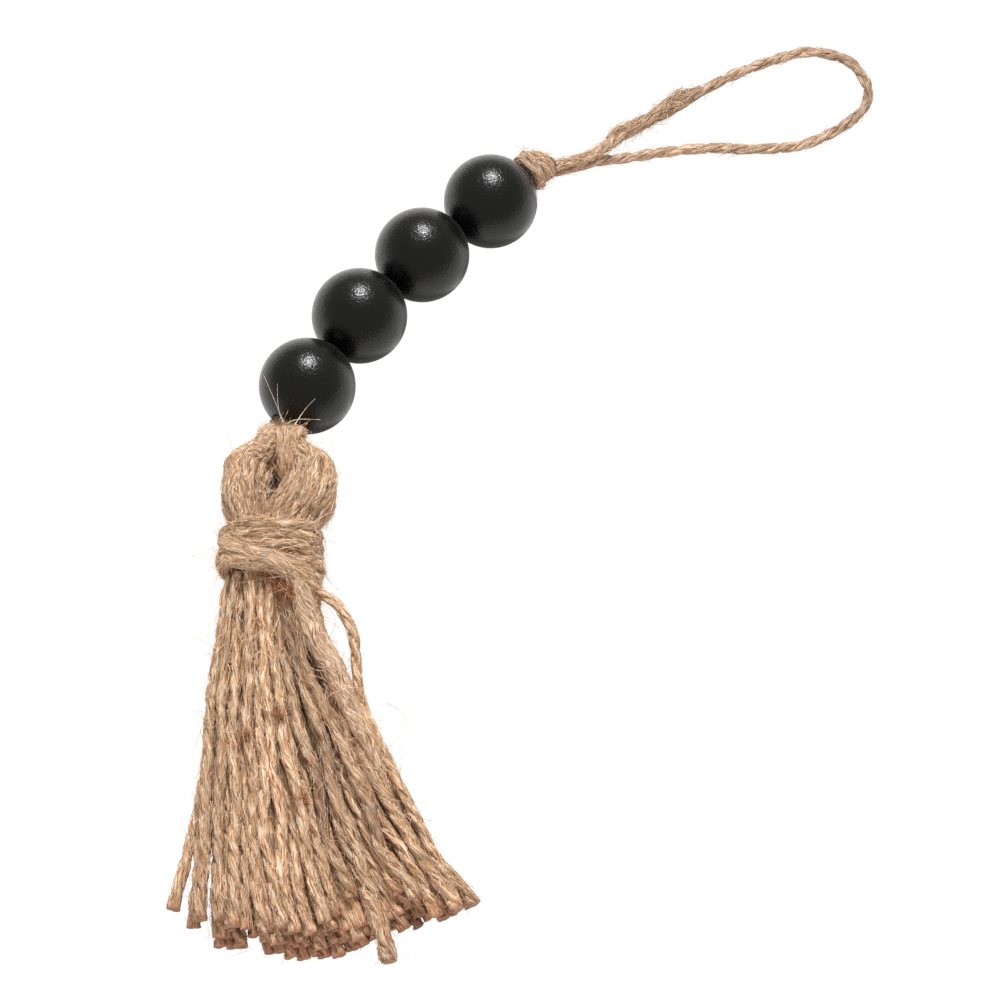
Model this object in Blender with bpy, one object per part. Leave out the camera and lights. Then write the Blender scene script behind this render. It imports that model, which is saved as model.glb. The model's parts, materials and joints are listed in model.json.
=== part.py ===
"""Beaded jute tassel, lying on its back.

A hank of jute twines is folded over at the head and cut off at the skirt. A
twine binds its neck, and a doubled core twine runs from the head's eye through
four painted wooden balls to a knot, from which the hanging loop leaves.
+X is to the right, +Y runs from the skirt to the loop, and +Z is up.
"""

import math

import bmesh
import bpy
import numpy as np

MM = 0.001
CLEARANCE = 0.3 * MM  # between pieces that touch in the real object

# The chain of balls: one heading per step, from the ball next to the tassel up to the knot.
BALL_RADIUS = 10.0 * MM
BALL_HALF_LENGTH = 9.4 * MM
BORE_RADIUS = 2.75 * MM
BORE_CHAMFER = 0.25 * MM
BALL_SPACING = 19.65 * MM
BALL_FLAT_DEPTH = 0.12 * MM
FIRST_BALL = np.array((-14.3, 31.6)) * MM
STEP_HEADINGS_DEG = (58.0, 48.9, 42.6)
END_HEADINGS_DEG = (65.0, 41.0)  # towards the head, and towards the knot
BALL_SIDES = 24
BALL_ARC_STEPS = 11

# Twine
TWINE_RADIUS = 1.1 * MM
TWINE_PITCH = 9.0 * MM
TWINE_RINGS = 7  # per turn of the twist
TWINE_LOBES = 0.12  # depth of the groove between the two plies, as a share of the radius
CORE_RADIUS = 2.1 * MM  # two twines side by side
CORE_STEP = 3.4 * MM

# The head: a fold of twines over an eye, round the point HEAD_CENTRE.
HEAD_CENTRE = np.array((-19.2, 10.8)) * MM
HEAD_MID_HEIGHT = 9.7 * MM
HEAD_RADIUS = 11.7 * MM
HEAD_SHOULDER_DROP = 2.0 * MM
HEAD_HALF_THICKNESS = 8.7 * MM
EYE_HALF_WIDTH = 1.5 * MM
TIE_GROOVE_DEPTH = 2.6 * MM
TIE_GROOVE_ANGLE_DEG = 14.0
GROOVE_THINNING = 1.7 * MM
LEG_END_Y = -4.5 * MM
WAIST_Y = (-2.6 * MM, 5.0 * MM)  # the fold narrows from the upper height down to the lower one
WAIST_INSET = 0.4 * MM
WAIST_THINNING = 1.9 * MM
WAIST_HALF_GAP = 0.3 * MM
HEAD_RIDGES = 16
HEAD_RIDGE_DEPTH = 0.09  # share of the lobe's half-width

# The neck and its binding
NECK_X = -20.3 * MM
NECK_MID_HEIGHT = 10.0 * MM
NECK_HALF_WIDTH = 9.0 * MM
NECK_HALF_THICKNESS = 8.2 * MM
NECK_SQUARENESS = 2.5
NECK_SECTIONS = (  # y in mm, and the half-width and half-thickness as shares of the bound neck's
    (3.0, 0.30, 0.55),
    (1.8, 0.62, 0.90),
    (0.0, 0.86, 0.98),
    (-2.0, 0.98, 1.00),
    (-12.0, 1.00, 1.00),
    (-13.4, 1.00, 1.00),
    (-14.6, 1.03, 1.01),
    (-16.2, 0.93, 0.90),
)
BAND_TOP = -1.6 * MM
BAND_BOTTOM = -13.2 * MM
BAND_THICKNESS = 1.75 * MM
BAND_TURNS = 5
BAND_RIDGE_DEPTH = 0.45 * MM
BAND_SLANT_TURNS = 1.0
BAND_SIDES = 36
BAND_EDGE_SHARE = 0.04  # the ends are as thin as the binding is at this share of its length
BAND_EDGE_POWER = 0.3  # a low power makes the edges full and round

# The skirt: STRAND_LAYERS strands side by side in each layer at the tips, lowest layer first.
STRAND_LAYERS = (24, 21, 17, 3)
LAYER_HEIGHTS = np.array((0.9, 3.0, 5.1, 7.2)) * MM
LAYER_LENGTHENING = np.array((0.0, -1.5, -4.0, -5.0)) * MM
LENGTH_JITTER = 1.0 * MM
ODD_STRANDS = (  # layer, place in the layer, tip's shift to the right and extra length, both in mm
    (0, 0, -5.0, -6.0),
    (0, 1, -2.9, -3.5),
    (0, 2, -1.2, 0.0),
    (1, 0, -2.9, -3.0),
    (2, 9, 0.0, -6.0),
    (2, 12, 0.0, 8.0),
    (2, 13, 0.0, -5.0),
)
SKIRT_ROOT_Y = -12.9 * MM
SKIRT_ROOT_HALF_WIDTH = 9.0 * MM
SKIRT_TIP_X = np.array((-33.0, 20.6)) * MM
SKIRT_LOW_POINT = np.array((-14.0, -87.4)) * MM
SKIRT_TIP_BEND = 8.5  # per metre: how fast the tips' line rises beside its low point
ROOT_FAN_DEG = (-12.0, 12.0)
TIP_FAN_DEG = (-2.0, 29.0)
DROOP_POWER = 1.6
STATIONS = (0.0, 0.07, 0.14, 0.22, 0.32, 0.44, 0.57, 0.71, 0.85, 1.0)
SKIRT_LENGTH = 73.0 * MM
ROOT_SPACING = 1.75 * MM
TIP_SPACING = 2.3 * MM
STRAND_FILL = 0.72  # a strand's side, as a share of the spacing
ROOT_FILL = (0.88, 0.86)  # shares of the neck's half-width and half-thickness that the roots fill
SPACING_ROUNDS = 300
SMOOTHED_ROUNDS = 210
SMOOTHING = 0.15
PULL_TO_PLAN = 0.03
PUSH = 0.25
PLACE_JITTER = 0.05 * MM
SEED = 11
ROOT_GROUP = 7
ARCH_STEP = 5.5 * MM
ARCHING_STRAND = (  # a loose strand that bows out: share of the length, lateral share and height in mm
    (0.00, 0.76, 12.4),
    (0.05, 0.98, 13.6),
    (0.10, 1.28, 14.2),
    (0.19, 1.34, 13.2),
    (0.28, 1.20, 11.6),
    (0.37, 1.08, 10.2),
    (0.50, 1.02, 9.2),
    (0.75, 0.97, 7.6),
    (1.00, 0.93, 5.4),
)

# The knot's turns: name, distance from the ball's end, reach, slant in degrees and thickness, the rest in mm.
KNOT_TURNS = (("first_turn", 1.55, 3.15, 0.0, 1.5), ("second_turn", 3.7, 2.7, -24.0, 1.5))
KNOT_HEART = ((0.5, 1.6), (1.5, 3.0), (3.0, 3.1), (4.6, 2.7), (5.6, 1.5))  # distance from the ball, radius

# The hanging loop's routes, x, y and z in mm. Both legs leave the knot, and the loop lies on the floor.
SPLICE_STEP = 2.0 * MM
UPPER_LEG = (
    (37.3, 85.0, 10.5), (39.5, 86.0, 9.9), (42.1, 87.3, 9.1), (45.0, 89.1, 8.2), (47.5, 91.3, 7.2),
    (49.6, 93.6, 6.2),
)
SPLICE_LEG = (
    (52.2, 96.3, 5.1), (56.2, 99.9, 4.0), (60.4, 103.3, 3.0), (64.4, 106.3, 2.0), (68.0, 109.0, 1.35),
)
LOOP_ROUTE = (
    (37.4, 85.3, 7.9), (39.5, 86.1, 7.2), (42.2, 87.4, 6.4), (45.0, 88.9, 5.5), (47.5, 90.0, 4.7),
    (53.9, 92.1, 2.8), (58.3, 93.5, 1.9), (64.5, 94.9, 1.25), (72.0, 95.6, 1.15), (79.7, 95.3, 1.15),
    (86.7, 95.6, 1.15),
    (92.2, 96.5, 1.15), (98.4, 99.5, 1.15), (103.1, 103.0, 1.15), (106.2, 106.6, 1.15), (107.1, 110.8, 1.15),
    (105.8, 115.1, 1.15), (103.1, 118.6, 1.15), (98.5, 120.5, 1.15), (93.4, 121.0, 1.15), (88.2, 119.5, 1.15),
    (80.5, 116.4, 1.15), (74.5, 113.2, 1.15), (71.0, 111.0, 1.2),
)

MATERIALS = {
    "jute_hank": ((0.47, 0.30, 0.16, 1.0), 0.85),
    "jute_binding": ((0.52, 0.34, 0.18, 1.0), 0.85),
    "jute_cord": ((0.54, 0.36, 0.20, 1.0), 0.85),
    "painted_wood": ((0.012, 0.012, 0.013, 1.0), 0.42),
}


def smooth_step(value, start, end):
    """0 before start, 1 after end, and a smooth rise between them."""
    share = np.clip((np.asarray(value, float) - start) / (end - start), 0, 1)
    return share * share * (3 - 2 * share)


def heading(degrees):
    """The level unit vector at this angle from +X."""
    return np.array((math.cos(math.radians(degrees)), math.sin(math.radians(degrees)), 0.0))


def material(name):
    """A Principled BSDF with the part's colour and roughness."""
    colour, roughness = MATERIALS[name]
    made = bpy.data.materials.new(name)
    made.use_nodes = True
    made.diffuse_color = colour
    shader = made.node_tree.nodes["Principled BSDF"]
    shader.inputs["Base Color"].default_value = colour
    shader.inputs["Roughness"].default_value = roughness
    return made


def add_object(name, mesh, finish):
    """A smoothly shaded object of this mesh in the scene."""
    mesh.materials.append(finish)
    mesh.shade_smooth()
    made = bpy.data.objects.new(name, mesh)
    bpy.context.scene.collection.objects.link(made)
    return made


def lofted(name, stacks, closed=False):
    """One mesh of closed surfaces. Each stack is an array of rings by points by 3, whose rings are joined one
    to the next. The first and last rings are capped, or joined to each other where closed is set."""
    bm = bmesh.new()
    for rings in stacks:
        rows = [[bm.verts.new(point) for point in ring] for ring in rings]
        pairs = list(zip(rows, rows[1:] + rows[:1])) if closed else list(zip(rows, rows[1:]))
        for lower, upper in pairs:
            for i in range(len(lower)):
                j = (i + 1) % len(lower)
                bm.faces.new((lower[i], lower[j], upper[j], upper[i]))
        if not closed:
            bm.faces.new(rows[0][::-1])
            bm.faces.new(rows[-1])
    bmesh.ops.recalc_face_normals(bm, faces=bm.faces)
    mesh = bpy.data.meshes.new(name)
    bm.to_mesh(mesh)
    bm.free()
    return mesh


def united(target, helpers):
    """Joins helper objects to the target with one Boolean each. The helpers stay out of the render."""
    for helper in helpers:
        helper.hide_render = True
        helper.display_type = "WIRE"
        helper.parent = target
        union = target.modifiers.new("join " + helper.name, "BOOLEAN")
        union.operation = "UNION"
        union.solver = "EXACT"
        union.object = helper


def smooth_route(points, step):
    """Points at even steps along a Catmull-Rom curve through a route's own points."""
    points = np.asarray(points, float)
    guides = np.concatenate([[2 * points[0] - points[1]], points, [2 * points[-1] - points[-2]]])
    t = np.linspace(0, 1, 24, endpoint=False)[:, None]
    spans = [
        0.5 * (2 * b + (c - a) * t + (2 * a - 5 * b + 4 * c - d) * t**2 + (3 * b - a - 3 * c + d) * t**3)
        for a, b, c, d in zip(guides, guides[1:], guides[2:], guides[3:])
    ]
    dense = np.concatenate([*spans, points[-1:]])
    along = np.concatenate([[0], np.cumsum(np.linalg.norm(np.diff(dense, axis=0), axis=1))])
    even = np.linspace(0, along[-1], max(2, round(along[-1] / step)) + 1)
    return np.stack([np.interp(even, along, dense[:, i]) for i in range(3)], axis=1)


def path_frames(path, closed=False):
    """The side and upward unit vectors at each point of a path, carried along it without twist."""
    if closed:
        tangents = np.roll(path, -1, axis=0) - np.roll(path, 1, axis=0)
    else:
        tangents = np.gradient(path, axis=0)
    tangents /= np.linalg.norm(tangents, axis=1)[:, None]
    first = np.cross(tangents[0], (0, 0, 1))
    if np.linalg.norm(first) < 0.1:
        first = np.array((1.0, 0, 0))
    sides = [first / np.linalg.norm(first)]
    for tangent in tangents[1:]:
        side = sides[-1] - tangent * (sides[-1] @ tangent)
        sides.append(side / np.linalg.norm(side))
    sides = np.array(sides)
    return sides, np.cross(sides, tangents)


def tube_rings(path, radius, sides=10, lobes=0.0, turns=0.0, closed=False):
    """Rings of a tube. With lobes, the section has two humps, as two plies have, and it makes these turns."""
    side, up = path_frames(path, closed)
    spin = np.linspace(0, 2 * math.pi * turns, len(path))[:, None]
    angle = np.linspace(0, 2 * math.pi, sides, endpoint=False)[None]
    reach = radius * (1 - lobes + lobes * np.cos(2 * angle))
    across = (reach * np.cos(angle + spin))[..., None] * side[:, None]
    return path[:, None] + across + (reach * np.sin(angle + spin))[..., None] * up[:, None]


def ball_centres():
    """The balls' centres, from the one next to the tassel up to the one below the knot."""
    centres = [np.array((*FIRST_BALL, BALL_RADIUS - BALL_FLAT_DEPTH))]
    for degrees in STEP_HEADINGS_DEG:
        centres.append(centres[-1] + BALL_SPACING * heading(degrees))
    return centres


def ball_headings():
    """Each ball's bore lies halfway between the two steps of the chain that meet in it."""
    ends = (END_HEADINGS_DEG[0], *STEP_HEADINGS_DEG, END_HEADINGS_DEG[1])
    return [(before + after) / 2 for before, after in zip(ends, ends[1:])]


def ball_mesh():
    """A ball turned round its bore, which lies along X, with flat ends and a small flat spot underneath."""
    end_radius = math.sqrt(BALL_RADIUS**2 - BALL_HALF_LENGTH**2)
    start = math.asin(end_radius / BALL_RADIUS)
    arc = np.linspace(start, math.pi - start, BALL_ARC_STEPS)
    half, inside = BALL_HALF_LENGTH, BALL_HALF_LENGTH - BORE_CHAMFER
    along = np.concatenate([BALL_RADIUS * np.cos(arc), (-half, -inside, inside, half)])
    out = np.concatenate([
        BALL_RADIUS * np.sin(arc),
        (BORE_RADIUS + BORE_CHAMFER, BORE_RADIUS, BORE_RADIUS, BORE_RADIUS + BORE_CHAMFER),
    ])
    turn = np.linspace(0, 2 * math.pi, BALL_SIDES, endpoint=False)[:, None]
    rings = np.stack([along + 0 * turn, out * np.cos(turn), out * np.sin(turn)], axis=2)
    mesh = lofted("painted_ball", [rings], closed=True)
    bm = bmesh.new()
    bm.from_mesh(mesh)
    cut = bmesh.ops.bisect_plane(
        bm,
        geom=[*bm.verts, *bm.edges, *bm.faces],
        plane_co=(0, 0, BALL_FLAT_DEPTH - BALL_RADIUS),
        plane_no=(0, 0, -1),
        clear_outer=True,
    )
    rim = [item for item in cut["geom_cut"] if isinstance(item, bmesh.types.BMEdge)]
    bmesh.ops.edgeloop_fill(bm, edges=rim)
    bmesh.ops.recalc_face_normals(bm, faces=bm.faces)
    bm.to_mesh(mesh)
    bm.free()
    mesh.shade_smooth()
    mesh.set_sharp_from_angle(angle=math.radians(35))
    return mesh


def add_balls(finish):
    """ball 1 is next to the knot, and ball 4 next to the tassel."""
    mesh = ball_mesh()
    mesh.materials.append(finish)
    count = len(ball_centres())
    for i, (centre, degrees) in enumerate(zip(ball_centres(), ball_headings())):
        ball = bpy.data.objects.new(f"bead_{count - i}", mesh)
        ball.location = centre
        ball.rotation_euler.z = math.radians(degrees)
        bpy.context.scene.collection.objects.link(ball)


def tie_ring_path():
    """The core twine's loop round the top of the fold: up the front, over the top, down the back and through
    the eye. It is an ellipse in the plane x = HEAD_CENTRE.x."""
    top = HEAD_RADIUS - TIE_GROOVE_DEPTH
    mid = (top + EYE_HALF_WIDTH) / 2
    clear = TWINE_RADIUS + 1.5 * CLEARANCE
    half_width = (top - EYE_HALF_WIDTH) / 2 + clear
    half_height = HEAD_HALF_THICKNESS - GROOVE_THINNING + clear
    turn = np.linspace(0, 2 * math.pi, 28, endpoint=False)
    return np.stack([
        np.full_like(turn, HEAD_CENTRE[0]),
        HEAD_CENTRE[1] + mid + half_width * np.cos(turn),
        HEAD_MID_HEIGHT + half_height * np.sin(turn),
    ], axis=1)


def add_core_cord(finish):
    """The doubled twine in the bores, and its loop round the top of the fold."""
    centres = ball_centres()
    ring = tie_ring_path()
    foot = ring[0] - (0, 0.4 * TWINE_RADIUS, 0)
    top = centres[-1] + (BALL_HALF_LENGTH + 0.2 * CLEARANCE) * heading(ball_headings()[-1])
    path = smooth_route([foot, *centres, top], CORE_STEP)
    cord = add_object("bead_cord", lofted("bead_cord", [tube_rings(path, CORE_RADIUS)]), finish)
    loop = lofted("cord_loop", [tube_rings(ring, TWINE_RADIUS, sides=8, closed=True)], closed=True)
    united(cord, [add_object("cord_loop", loop, finish)])


def add_knot(finish):
    """An overhand knot: one turn lies on the ball's end, and a second crosses it at a slant."""
    axis = heading(END_HEADINGS_DEG[1])
    across = np.cross((0, 0, 1), axis)
    upward = np.array((0, 0, 1.0))
    ball_end = ball_centres()[-1] + (BALL_HALF_LENGTH + CLEARANCE) * heading(ball_headings()[-1])
    turn = np.linspace(0, 2 * math.pi, 20, endpoint=False)[:, None]
    helpers = []
    for name, offset, reach, slant, thick in KNOT_TURNS:
        centre = ball_end + axis * offset * MM
        lean = math.radians(slant)
        tilted = across * math.cos(lean) + axis * math.sin(lean)
        path = centre + reach * MM * (np.cos(turn) * tilted + np.sin(turn) * upward)
        rings = tube_rings(path, thick * MM, sides=8, closed=True)
        helpers.append(add_object(name, lofted(name, [rings], closed=True), finish))
    heart_path = ball_end + axis * np.array(KNOT_HEART)[:, :1] * MM
    heart = tube_rings(heart_path, 1.0, sides=10)
    scale = np.array(KNOT_HEART)[:, 1] * MM
    heart = heart_path[:, None] + (heart - heart_path[:, None]) * scale[:, None, None]
    united(add_object("loop_knot", lofted("loop_knot", [heart]), finish), helpers)


def spliced(leg, spread, first):
    """The part of a leg where two twines lie round each other by half a turn. The first twine goes from the
    leg's own line out to a spread beside it, passing over the other one, which comes from that side to it."""
    side, up = path_frames(leg)
    share = np.linspace(0, 1, len(leg))[:, None]
    turn = math.pi * (1 - share)
    out = np.cos(turn) * -side + np.sin(turn) * up
    return leg + out * (spread * share if first else -spread * (1 - share))


def add_loop(finish):
    """The hanging loop: twine from the knot, round and back to a blunt end, spliced to its other end."""
    splice = smooth_route(np.array(SPLICE_LEG) * MM, SPLICE_STEP)
    apart = 2 * TWINE_RADIUS + CLEARANCE
    tail_end = spliced(splice, apart, True)
    tail_route = [*(np.array(UPPER_LEG) * MM), *tail_end]
    loop_route = [*(np.array(LOOP_ROUTE) * MM), *spliced(splice, apart, False)[::-1]]
    for name, route in (("hanging_loop", loop_route), ("loop_tail", tail_route)):
        path = smooth_route(route, TWINE_PITCH / TWINE_RINGS)
        turns = (len(path) - 1) / TWINE_RINGS
        rings = tube_rings(path, TWINE_RADIUS, sides=8, lobes=TWINE_LOBES, turns=turns)
        add_object(name, lofted(name, [rings]), finish)


def fold_rings():
    """Rings of the head's fold: up the left lobe, over the eye and down the right lobe. Each ring is an
    ellipse from the eye to the outline, with ridges for the twines."""
    legs = np.linspace(LEG_END_Y, HEAD_CENTRE[1], 6)[:-1]
    left = [(y, math.pi) for y in legs]
    over = [(HEAD_CENTRE[1], angle) for angle in np.linspace(math.pi, 0, 21)]
    right = [(y, 0.0) for y in legs[::-1]]
    rings = []
    for leg_y, angle in left + over + right:
        neck = 1 - float(smooth_step(leg_y, *WAIST_Y))
        groove = math.exp(-(((math.degrees(angle) - 90) / TIE_GROOVE_ANGLE_DEG) ** 4))
        outer = HEAD_RADIUS - HEAD_SHOULDER_DROP * math.sin(2 * angle) ** 2 - TIE_GROOVE_DEPTH * groove
        outer += (NECK_HALF_WIDTH - WAIST_INSET - HEAD_RADIUS) * neck
        inner = EYE_HALF_WIDTH + (WAIST_HALF_GAP - EYE_HALF_WIDTH) * neck
        thick = HEAD_HALF_THICKNESS - GROOVE_THINNING * groove - WAIST_THINNING * neck
        centre_x = HEAD_CENTRE[0] + (NECK_X - HEAD_CENTRE[0]) * neck
        turn = np.linspace(0, 2 * math.pi, 3 * HEAD_RIDGES, endpoint=False)
        reach = 1 - HEAD_RIDGE_DEPTH * (1 - neck) * (0.5 - 0.5 * np.cos(HEAD_RIDGES * turn))
        outward = (outer + inner) / 2 + (outer - inner) / 2 * np.cos(turn) * reach
        height = HEAD_MID_HEIGHT + thick * np.sin(turn) * reach
        rings.append(np.stack([
            centre_x + outward * math.cos(angle),
            leg_y + outward * math.sin(angle),
            height,
        ], axis=1))
    return np.array(rings)


def neck_rings():
    """Rings of the bound neck, from the foot of the eye to just below the binding."""
    turn = np.linspace(0, 2 * math.pi, 36, endpoint=False)
    power = 2 / NECK_SQUARENESS
    rings = []
    for y, width, height in NECK_SECTIONS:
        shift = float(smooth_step(y * MM, BAND_TOP, HEAD_CENTRE[1]))
        centre = NECK_X + (HEAD_CENTRE[0] - NECK_X) * shift
        across = np.sign(np.cos(turn)) * np.abs(np.cos(turn)) ** power
        upward = np.sign(np.sin(turn)) * np.abs(np.sin(turn)) ** power
        rings.append(np.stack([
            centre + width * NECK_HALF_WIDTH * across,
            np.full_like(turn, y * MM),
            NECK_MID_HEIGHT + height * NECK_HALF_THICKNESS * upward,
        ], axis=1))
    return np.array(rings)


def fan_place(share, lateral):
    """A place in the skirt's fan, seen from above, as x and y. Share runs from 0 at the root to 1 at the tips
    and lateral from -1 at the left edge to 1 at the right. Lines of equal lateral are cubic Bezier curves."""
    share, lateral = np.broadcast_arrays(share, lateral)
    root_x = NECK_X + SKIRT_ROOT_HALF_WIDTH * lateral
    root = np.stack([root_x, np.full_like(root_x, SKIRT_ROOT_Y)], axis=-1)
    tip_x = SKIRT_TIP_X.mean() + np.ptp(SKIRT_TIP_X) / 2 * lateral
    tip_y = SKIRT_LOW_POINT[1] + SKIRT_TIP_BEND * (tip_x - SKIRT_LOW_POINT[0]) ** 2
    tip = np.stack([tip_x, tip_y], axis=-1)
    root_angle = np.radians(np.mean(ROOT_FAN_DEG) + np.ptp(ROOT_FAN_DEG) / 2 * lateral)
    tip_angle = np.radians(np.mean(TIP_FAN_DEG) + np.ptp(TIP_FAN_DEG) / 2 * lateral)
    leave = np.stack([np.sin(root_angle), -np.cos(root_angle)], axis=-1) * SKIRT_LENGTH / 3
    arrive = np.stack([np.sin(tip_angle), -np.cos(tip_angle)], axis=-1) * SKIRT_LENGTH / 3
    t = share[..., None]
    near, far = root + leave, tip - arrive
    return root * (1 - t) ** 3 + 3 * near * t * (1 - t) ** 2 + 3 * far * t**2 * (1 - t) + tip * t**3


def strand_slots():
    """Each strand's place at the tips and at the root, as lateral share and height. Roots fill an ellipse,
    and are handed out so that neighbours at the tips are neighbours at the root too."""
    tips = np.array([
        (2 * (i + 0.5) / count - 1, height)
        for count, height in zip(STRAND_LAYERS, LAYER_HEIGHTS)
        for i in range(count)
    ])
    order = np.arange(len(tips))
    turn = order * math.pi * (3 - math.sqrt(5))
    spread = np.sqrt((order + 0.5) / len(tips))
    roots = np.stack([spread * np.cos(turn), spread * np.sin(turn)], axis=1)
    given = np.empty_like(roots)
    by_tip, by_root = np.argsort(tips[:, 0]), np.argsort(roots[:, 0])
    for start in range(0, len(tips), ROOT_GROUP):
        here, there = by_tip[start : start + ROOT_GROUP], by_root[start : start + ROOT_GROUP]
        here = here[np.argsort(tips[here, 1], kind="stable")]
        given[here] = roots[there[np.argsort(roots[there, 1], kind="stable")]]
    return tips, given


def spread_strands():
    """Lateral place and height of each strand at each station, in metres. They start on smooth lines from the
    root to the tip, and are pushed apart, at the stations and halfway between, until they clear each other.
    Distances are measured with fourth powers, because the strands are square."""
    tips, roots = strand_slots()
    share = np.array(STATIONS)[None]
    half_width = np.linalg.norm(fan_place(share, 1.0) - fan_place(share, -1.0), axis=-1) / 2
    spacing = ROOT_SPACING + (TIP_SPACING - ROOT_SPACING) * smooth_step(share, 0.0, 0.5)
    blend = smooth_step(share, 0.0, 0.8)
    root_height = NECK_MID_HEIGHT + ROOT_FILL[1] * NECK_HALF_THICKNESS * roots[:, 1:]
    lateral = (ROOT_FILL[0] * roots[:, :1] * (1 - blend) + tips[:, :1] * blend) * half_width
    height = tips[:, 1:] + (root_height - tips[:, 1:]) * (1 - share) ** DROOP_POWER
    place = np.stack([lateral, height], axis=-1)
    place += np.random.default_rng(SEED).uniform(-1, 1, place.shape) * PLACE_JITTER
    arch = arch_at(share[0])
    place = np.concatenate([place, np.stack([arch[:, 0] * half_width[0], arch[:, 1]], axis=-1)[None]])
    plan = place.copy()
    low = 0.5 * STRAND_FILL * spacing
    for step in range(SPACING_ROUNDS):
        if step < SMOOTHED_ROUNDS:
            place[:, 1:-1] += SMOOTHING * (place[:, :-2] + place[:, 2:] - 2 * place[:, 1:-1])
            place += PULL_TO_PLAN * (plan - place)
        place += pushes(place, spacing)
        between = pushes((place[:, 1:] + place[:, :-1]) / 2, (spacing[:, 1:] + spacing[:, :-1]) / 2)
        place[:, 1:] += between
        place[:, :-1] += between
        place[..., 1] = np.maximum(place[..., 1], low)
        place[..., 0] = np.clip(place[..., 0], low - half_width, half_width - low)
        place[-1] = plan[-1]
    return place[:-1] / np.stack([half_width, np.ones_like(half_width)], axis=-1), spacing[0]


def arch_at(share):
    """Lateral share and height of the arching strand at these shares of the skirt's length."""
    shares, laterals, heights = np.array(ARCHING_STRAND).T
    return np.stack([np.interp(share, shares, laterals), np.interp(share, shares, heights) * MM], axis=1)


def pushes(place, spacing):
    """How far each strand has to move to get clear of the others."""
    gap = place[:, None] - place[None]
    distance = (gap**4).sum(-1) ** 0.25
    short = np.clip(spacing[None] - distance, 0, None)
    short[np.arange(len(place)), np.arange(len(place))] = 0
    return PUSH * ((short / np.maximum(distance, 1e-9))[..., None] * gap).sum(1)


def strand_rings():
    """Square rings of every cut strand. The sides nearest the floor lie level."""
    place, spacing = spread_strands()
    rng = np.random.default_rng(SEED)
    share = np.array(STATIONS)
    layers = [(layer, i) for layer, count in enumerate(STRAND_LAYERS) for i in range(count)]
    odd = {(layer, i): (shift, longer) for layer, i, shift, longer in ODD_STRANDS}
    stacks = []
    for (layer, i), strand in zip(layers, place):
        shift, longer = odd.get((layer, i), (0.0, 0.0))
        stretch = LAYER_LENGTHENING[layer] + longer * MM + LENGTH_JITTER * rng.uniform(-1, 1)
        reached = share * (1 + stretch / SKIRT_LENGTH)
        lateral, height = (np.interp(reached, share, column) for column in strand.T)
        flat = fan_place(reached, lateral)
        flat[:, 0] += shift * MM * share**2
        stacks.append(square_rings(np.column_stack([flat, height]), STRAND_FILL * spacing / 2))
    arch_share = np.array(ARCHING_STRAND)[:, 0]
    arch = arch_at(arch_share)
    path = smooth_route(np.column_stack([fan_place(arch_share, arch[:, 0]), arch[:, 1]]), ARCH_STEP)
    thickness = STRAND_FILL * np.interp(np.linspace(0, 1, len(path)), share, spacing)
    stacks.append(square_rings(path, thickness / 2))
    return stacks


def square_rings(path, half):
    """Rings of four points round a path, with two sides level."""
    ahead = np.gradient(path, axis=0)
    ahead /= np.linalg.norm(ahead, axis=1)[:, None]
    side = np.cross(ahead, (0, 0, 1))
    side /= np.linalg.norm(side, axis=1)[:, None]
    up = np.cross(side, ahead)
    corners = np.array(((1, 1), (-1, 1), (-1, -1), (1, -1)))
    offset = corners[None, :, :1] * side[:, None] + corners[None, :, 1:] * up[:, None]
    return path[:, None] + offset * half[:, None, None]


def add_tassel(finish):
    """The folded hank: head, bound neck and cut strands, in one body."""
    tassel = add_object("tassel", lofted("tassel", [neck_rings()]), finish)
    fold = add_object("head_fold", lofted("head_fold", [fold_rings()]), finish)
    skirt = add_object("skirt_strands", lofted("skirt_strands", strand_rings()), finish)
    united(tassel, [fold, skirt])


def add_binding(finish):
    """The twine wound round the neck, as one ring whose outside has a slanting ridge for each turn."""
    turn = np.linspace(0, 2 * math.pi, BAND_SIDES, endpoint=False)
    power = 2 / NECK_SQUARENESS
    across = np.sign(np.cos(turn)) * np.abs(np.cos(turn)) ** power
    upward = np.sign(np.sin(turn)) * np.abs(np.sin(turn)) ** power
    steps = np.linspace(0, 1, 3 * BAND_TURNS + 1)
    length = BAND_TOP - BAND_BOTTOM
    rings = []
    for share in (*steps, 1.0, 0.0):
        inner = len(rings) >= len(steps)
        ridge = np.abs(np.sin(math.pi * (share * BAND_TURNS + BAND_SLANT_TURNS * turn / (2 * math.pi))))
        edge = math.sin(math.pi * min(max(share, BAND_EDGE_SHARE), 1 - BAND_EDGE_SHARE)) ** BAND_EDGE_POWER
        wound = edge * (BAND_THICKNESS - BAND_RIDGE_DEPTH * (1 - ridge))
        thick = CLEARANCE if inner else CLEARANCE + wound
        height = NECK_MID_HEIGHT + (NECK_HALF_THICKNESS + thick) * upward
        rings.append(np.stack([
            NECK_X + (NECK_HALF_WIDTH + thick) * across,
            np.full_like(turn, BAND_TOP - share * length),
            np.maximum(height, 0),
        ], axis=1))
    add_object("neck_wrap", lofted("neck_wrap", [np.array(rings)], closed=True), finish)


def main():
    for old in list(bpy.data.objects):
        bpy.data.objects.remove(old)
    finishes = {name: material(name) for name in MATERIALS}
    add_tassel(finishes["jute_hank"])
    add_binding(finishes["jute_binding"])
    add_balls(finishes["painted_wood"])
    add_core_cord(finishes["jute_cord"])
    add_knot(finishes["jute_cord"])
    add_loop(finishes["jute_cord"])


main()
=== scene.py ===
"""Beaded jute tassel: a hank of two-ply twines with a bound neck, four painted balls and a hanging loop."""

import json
import math

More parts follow.
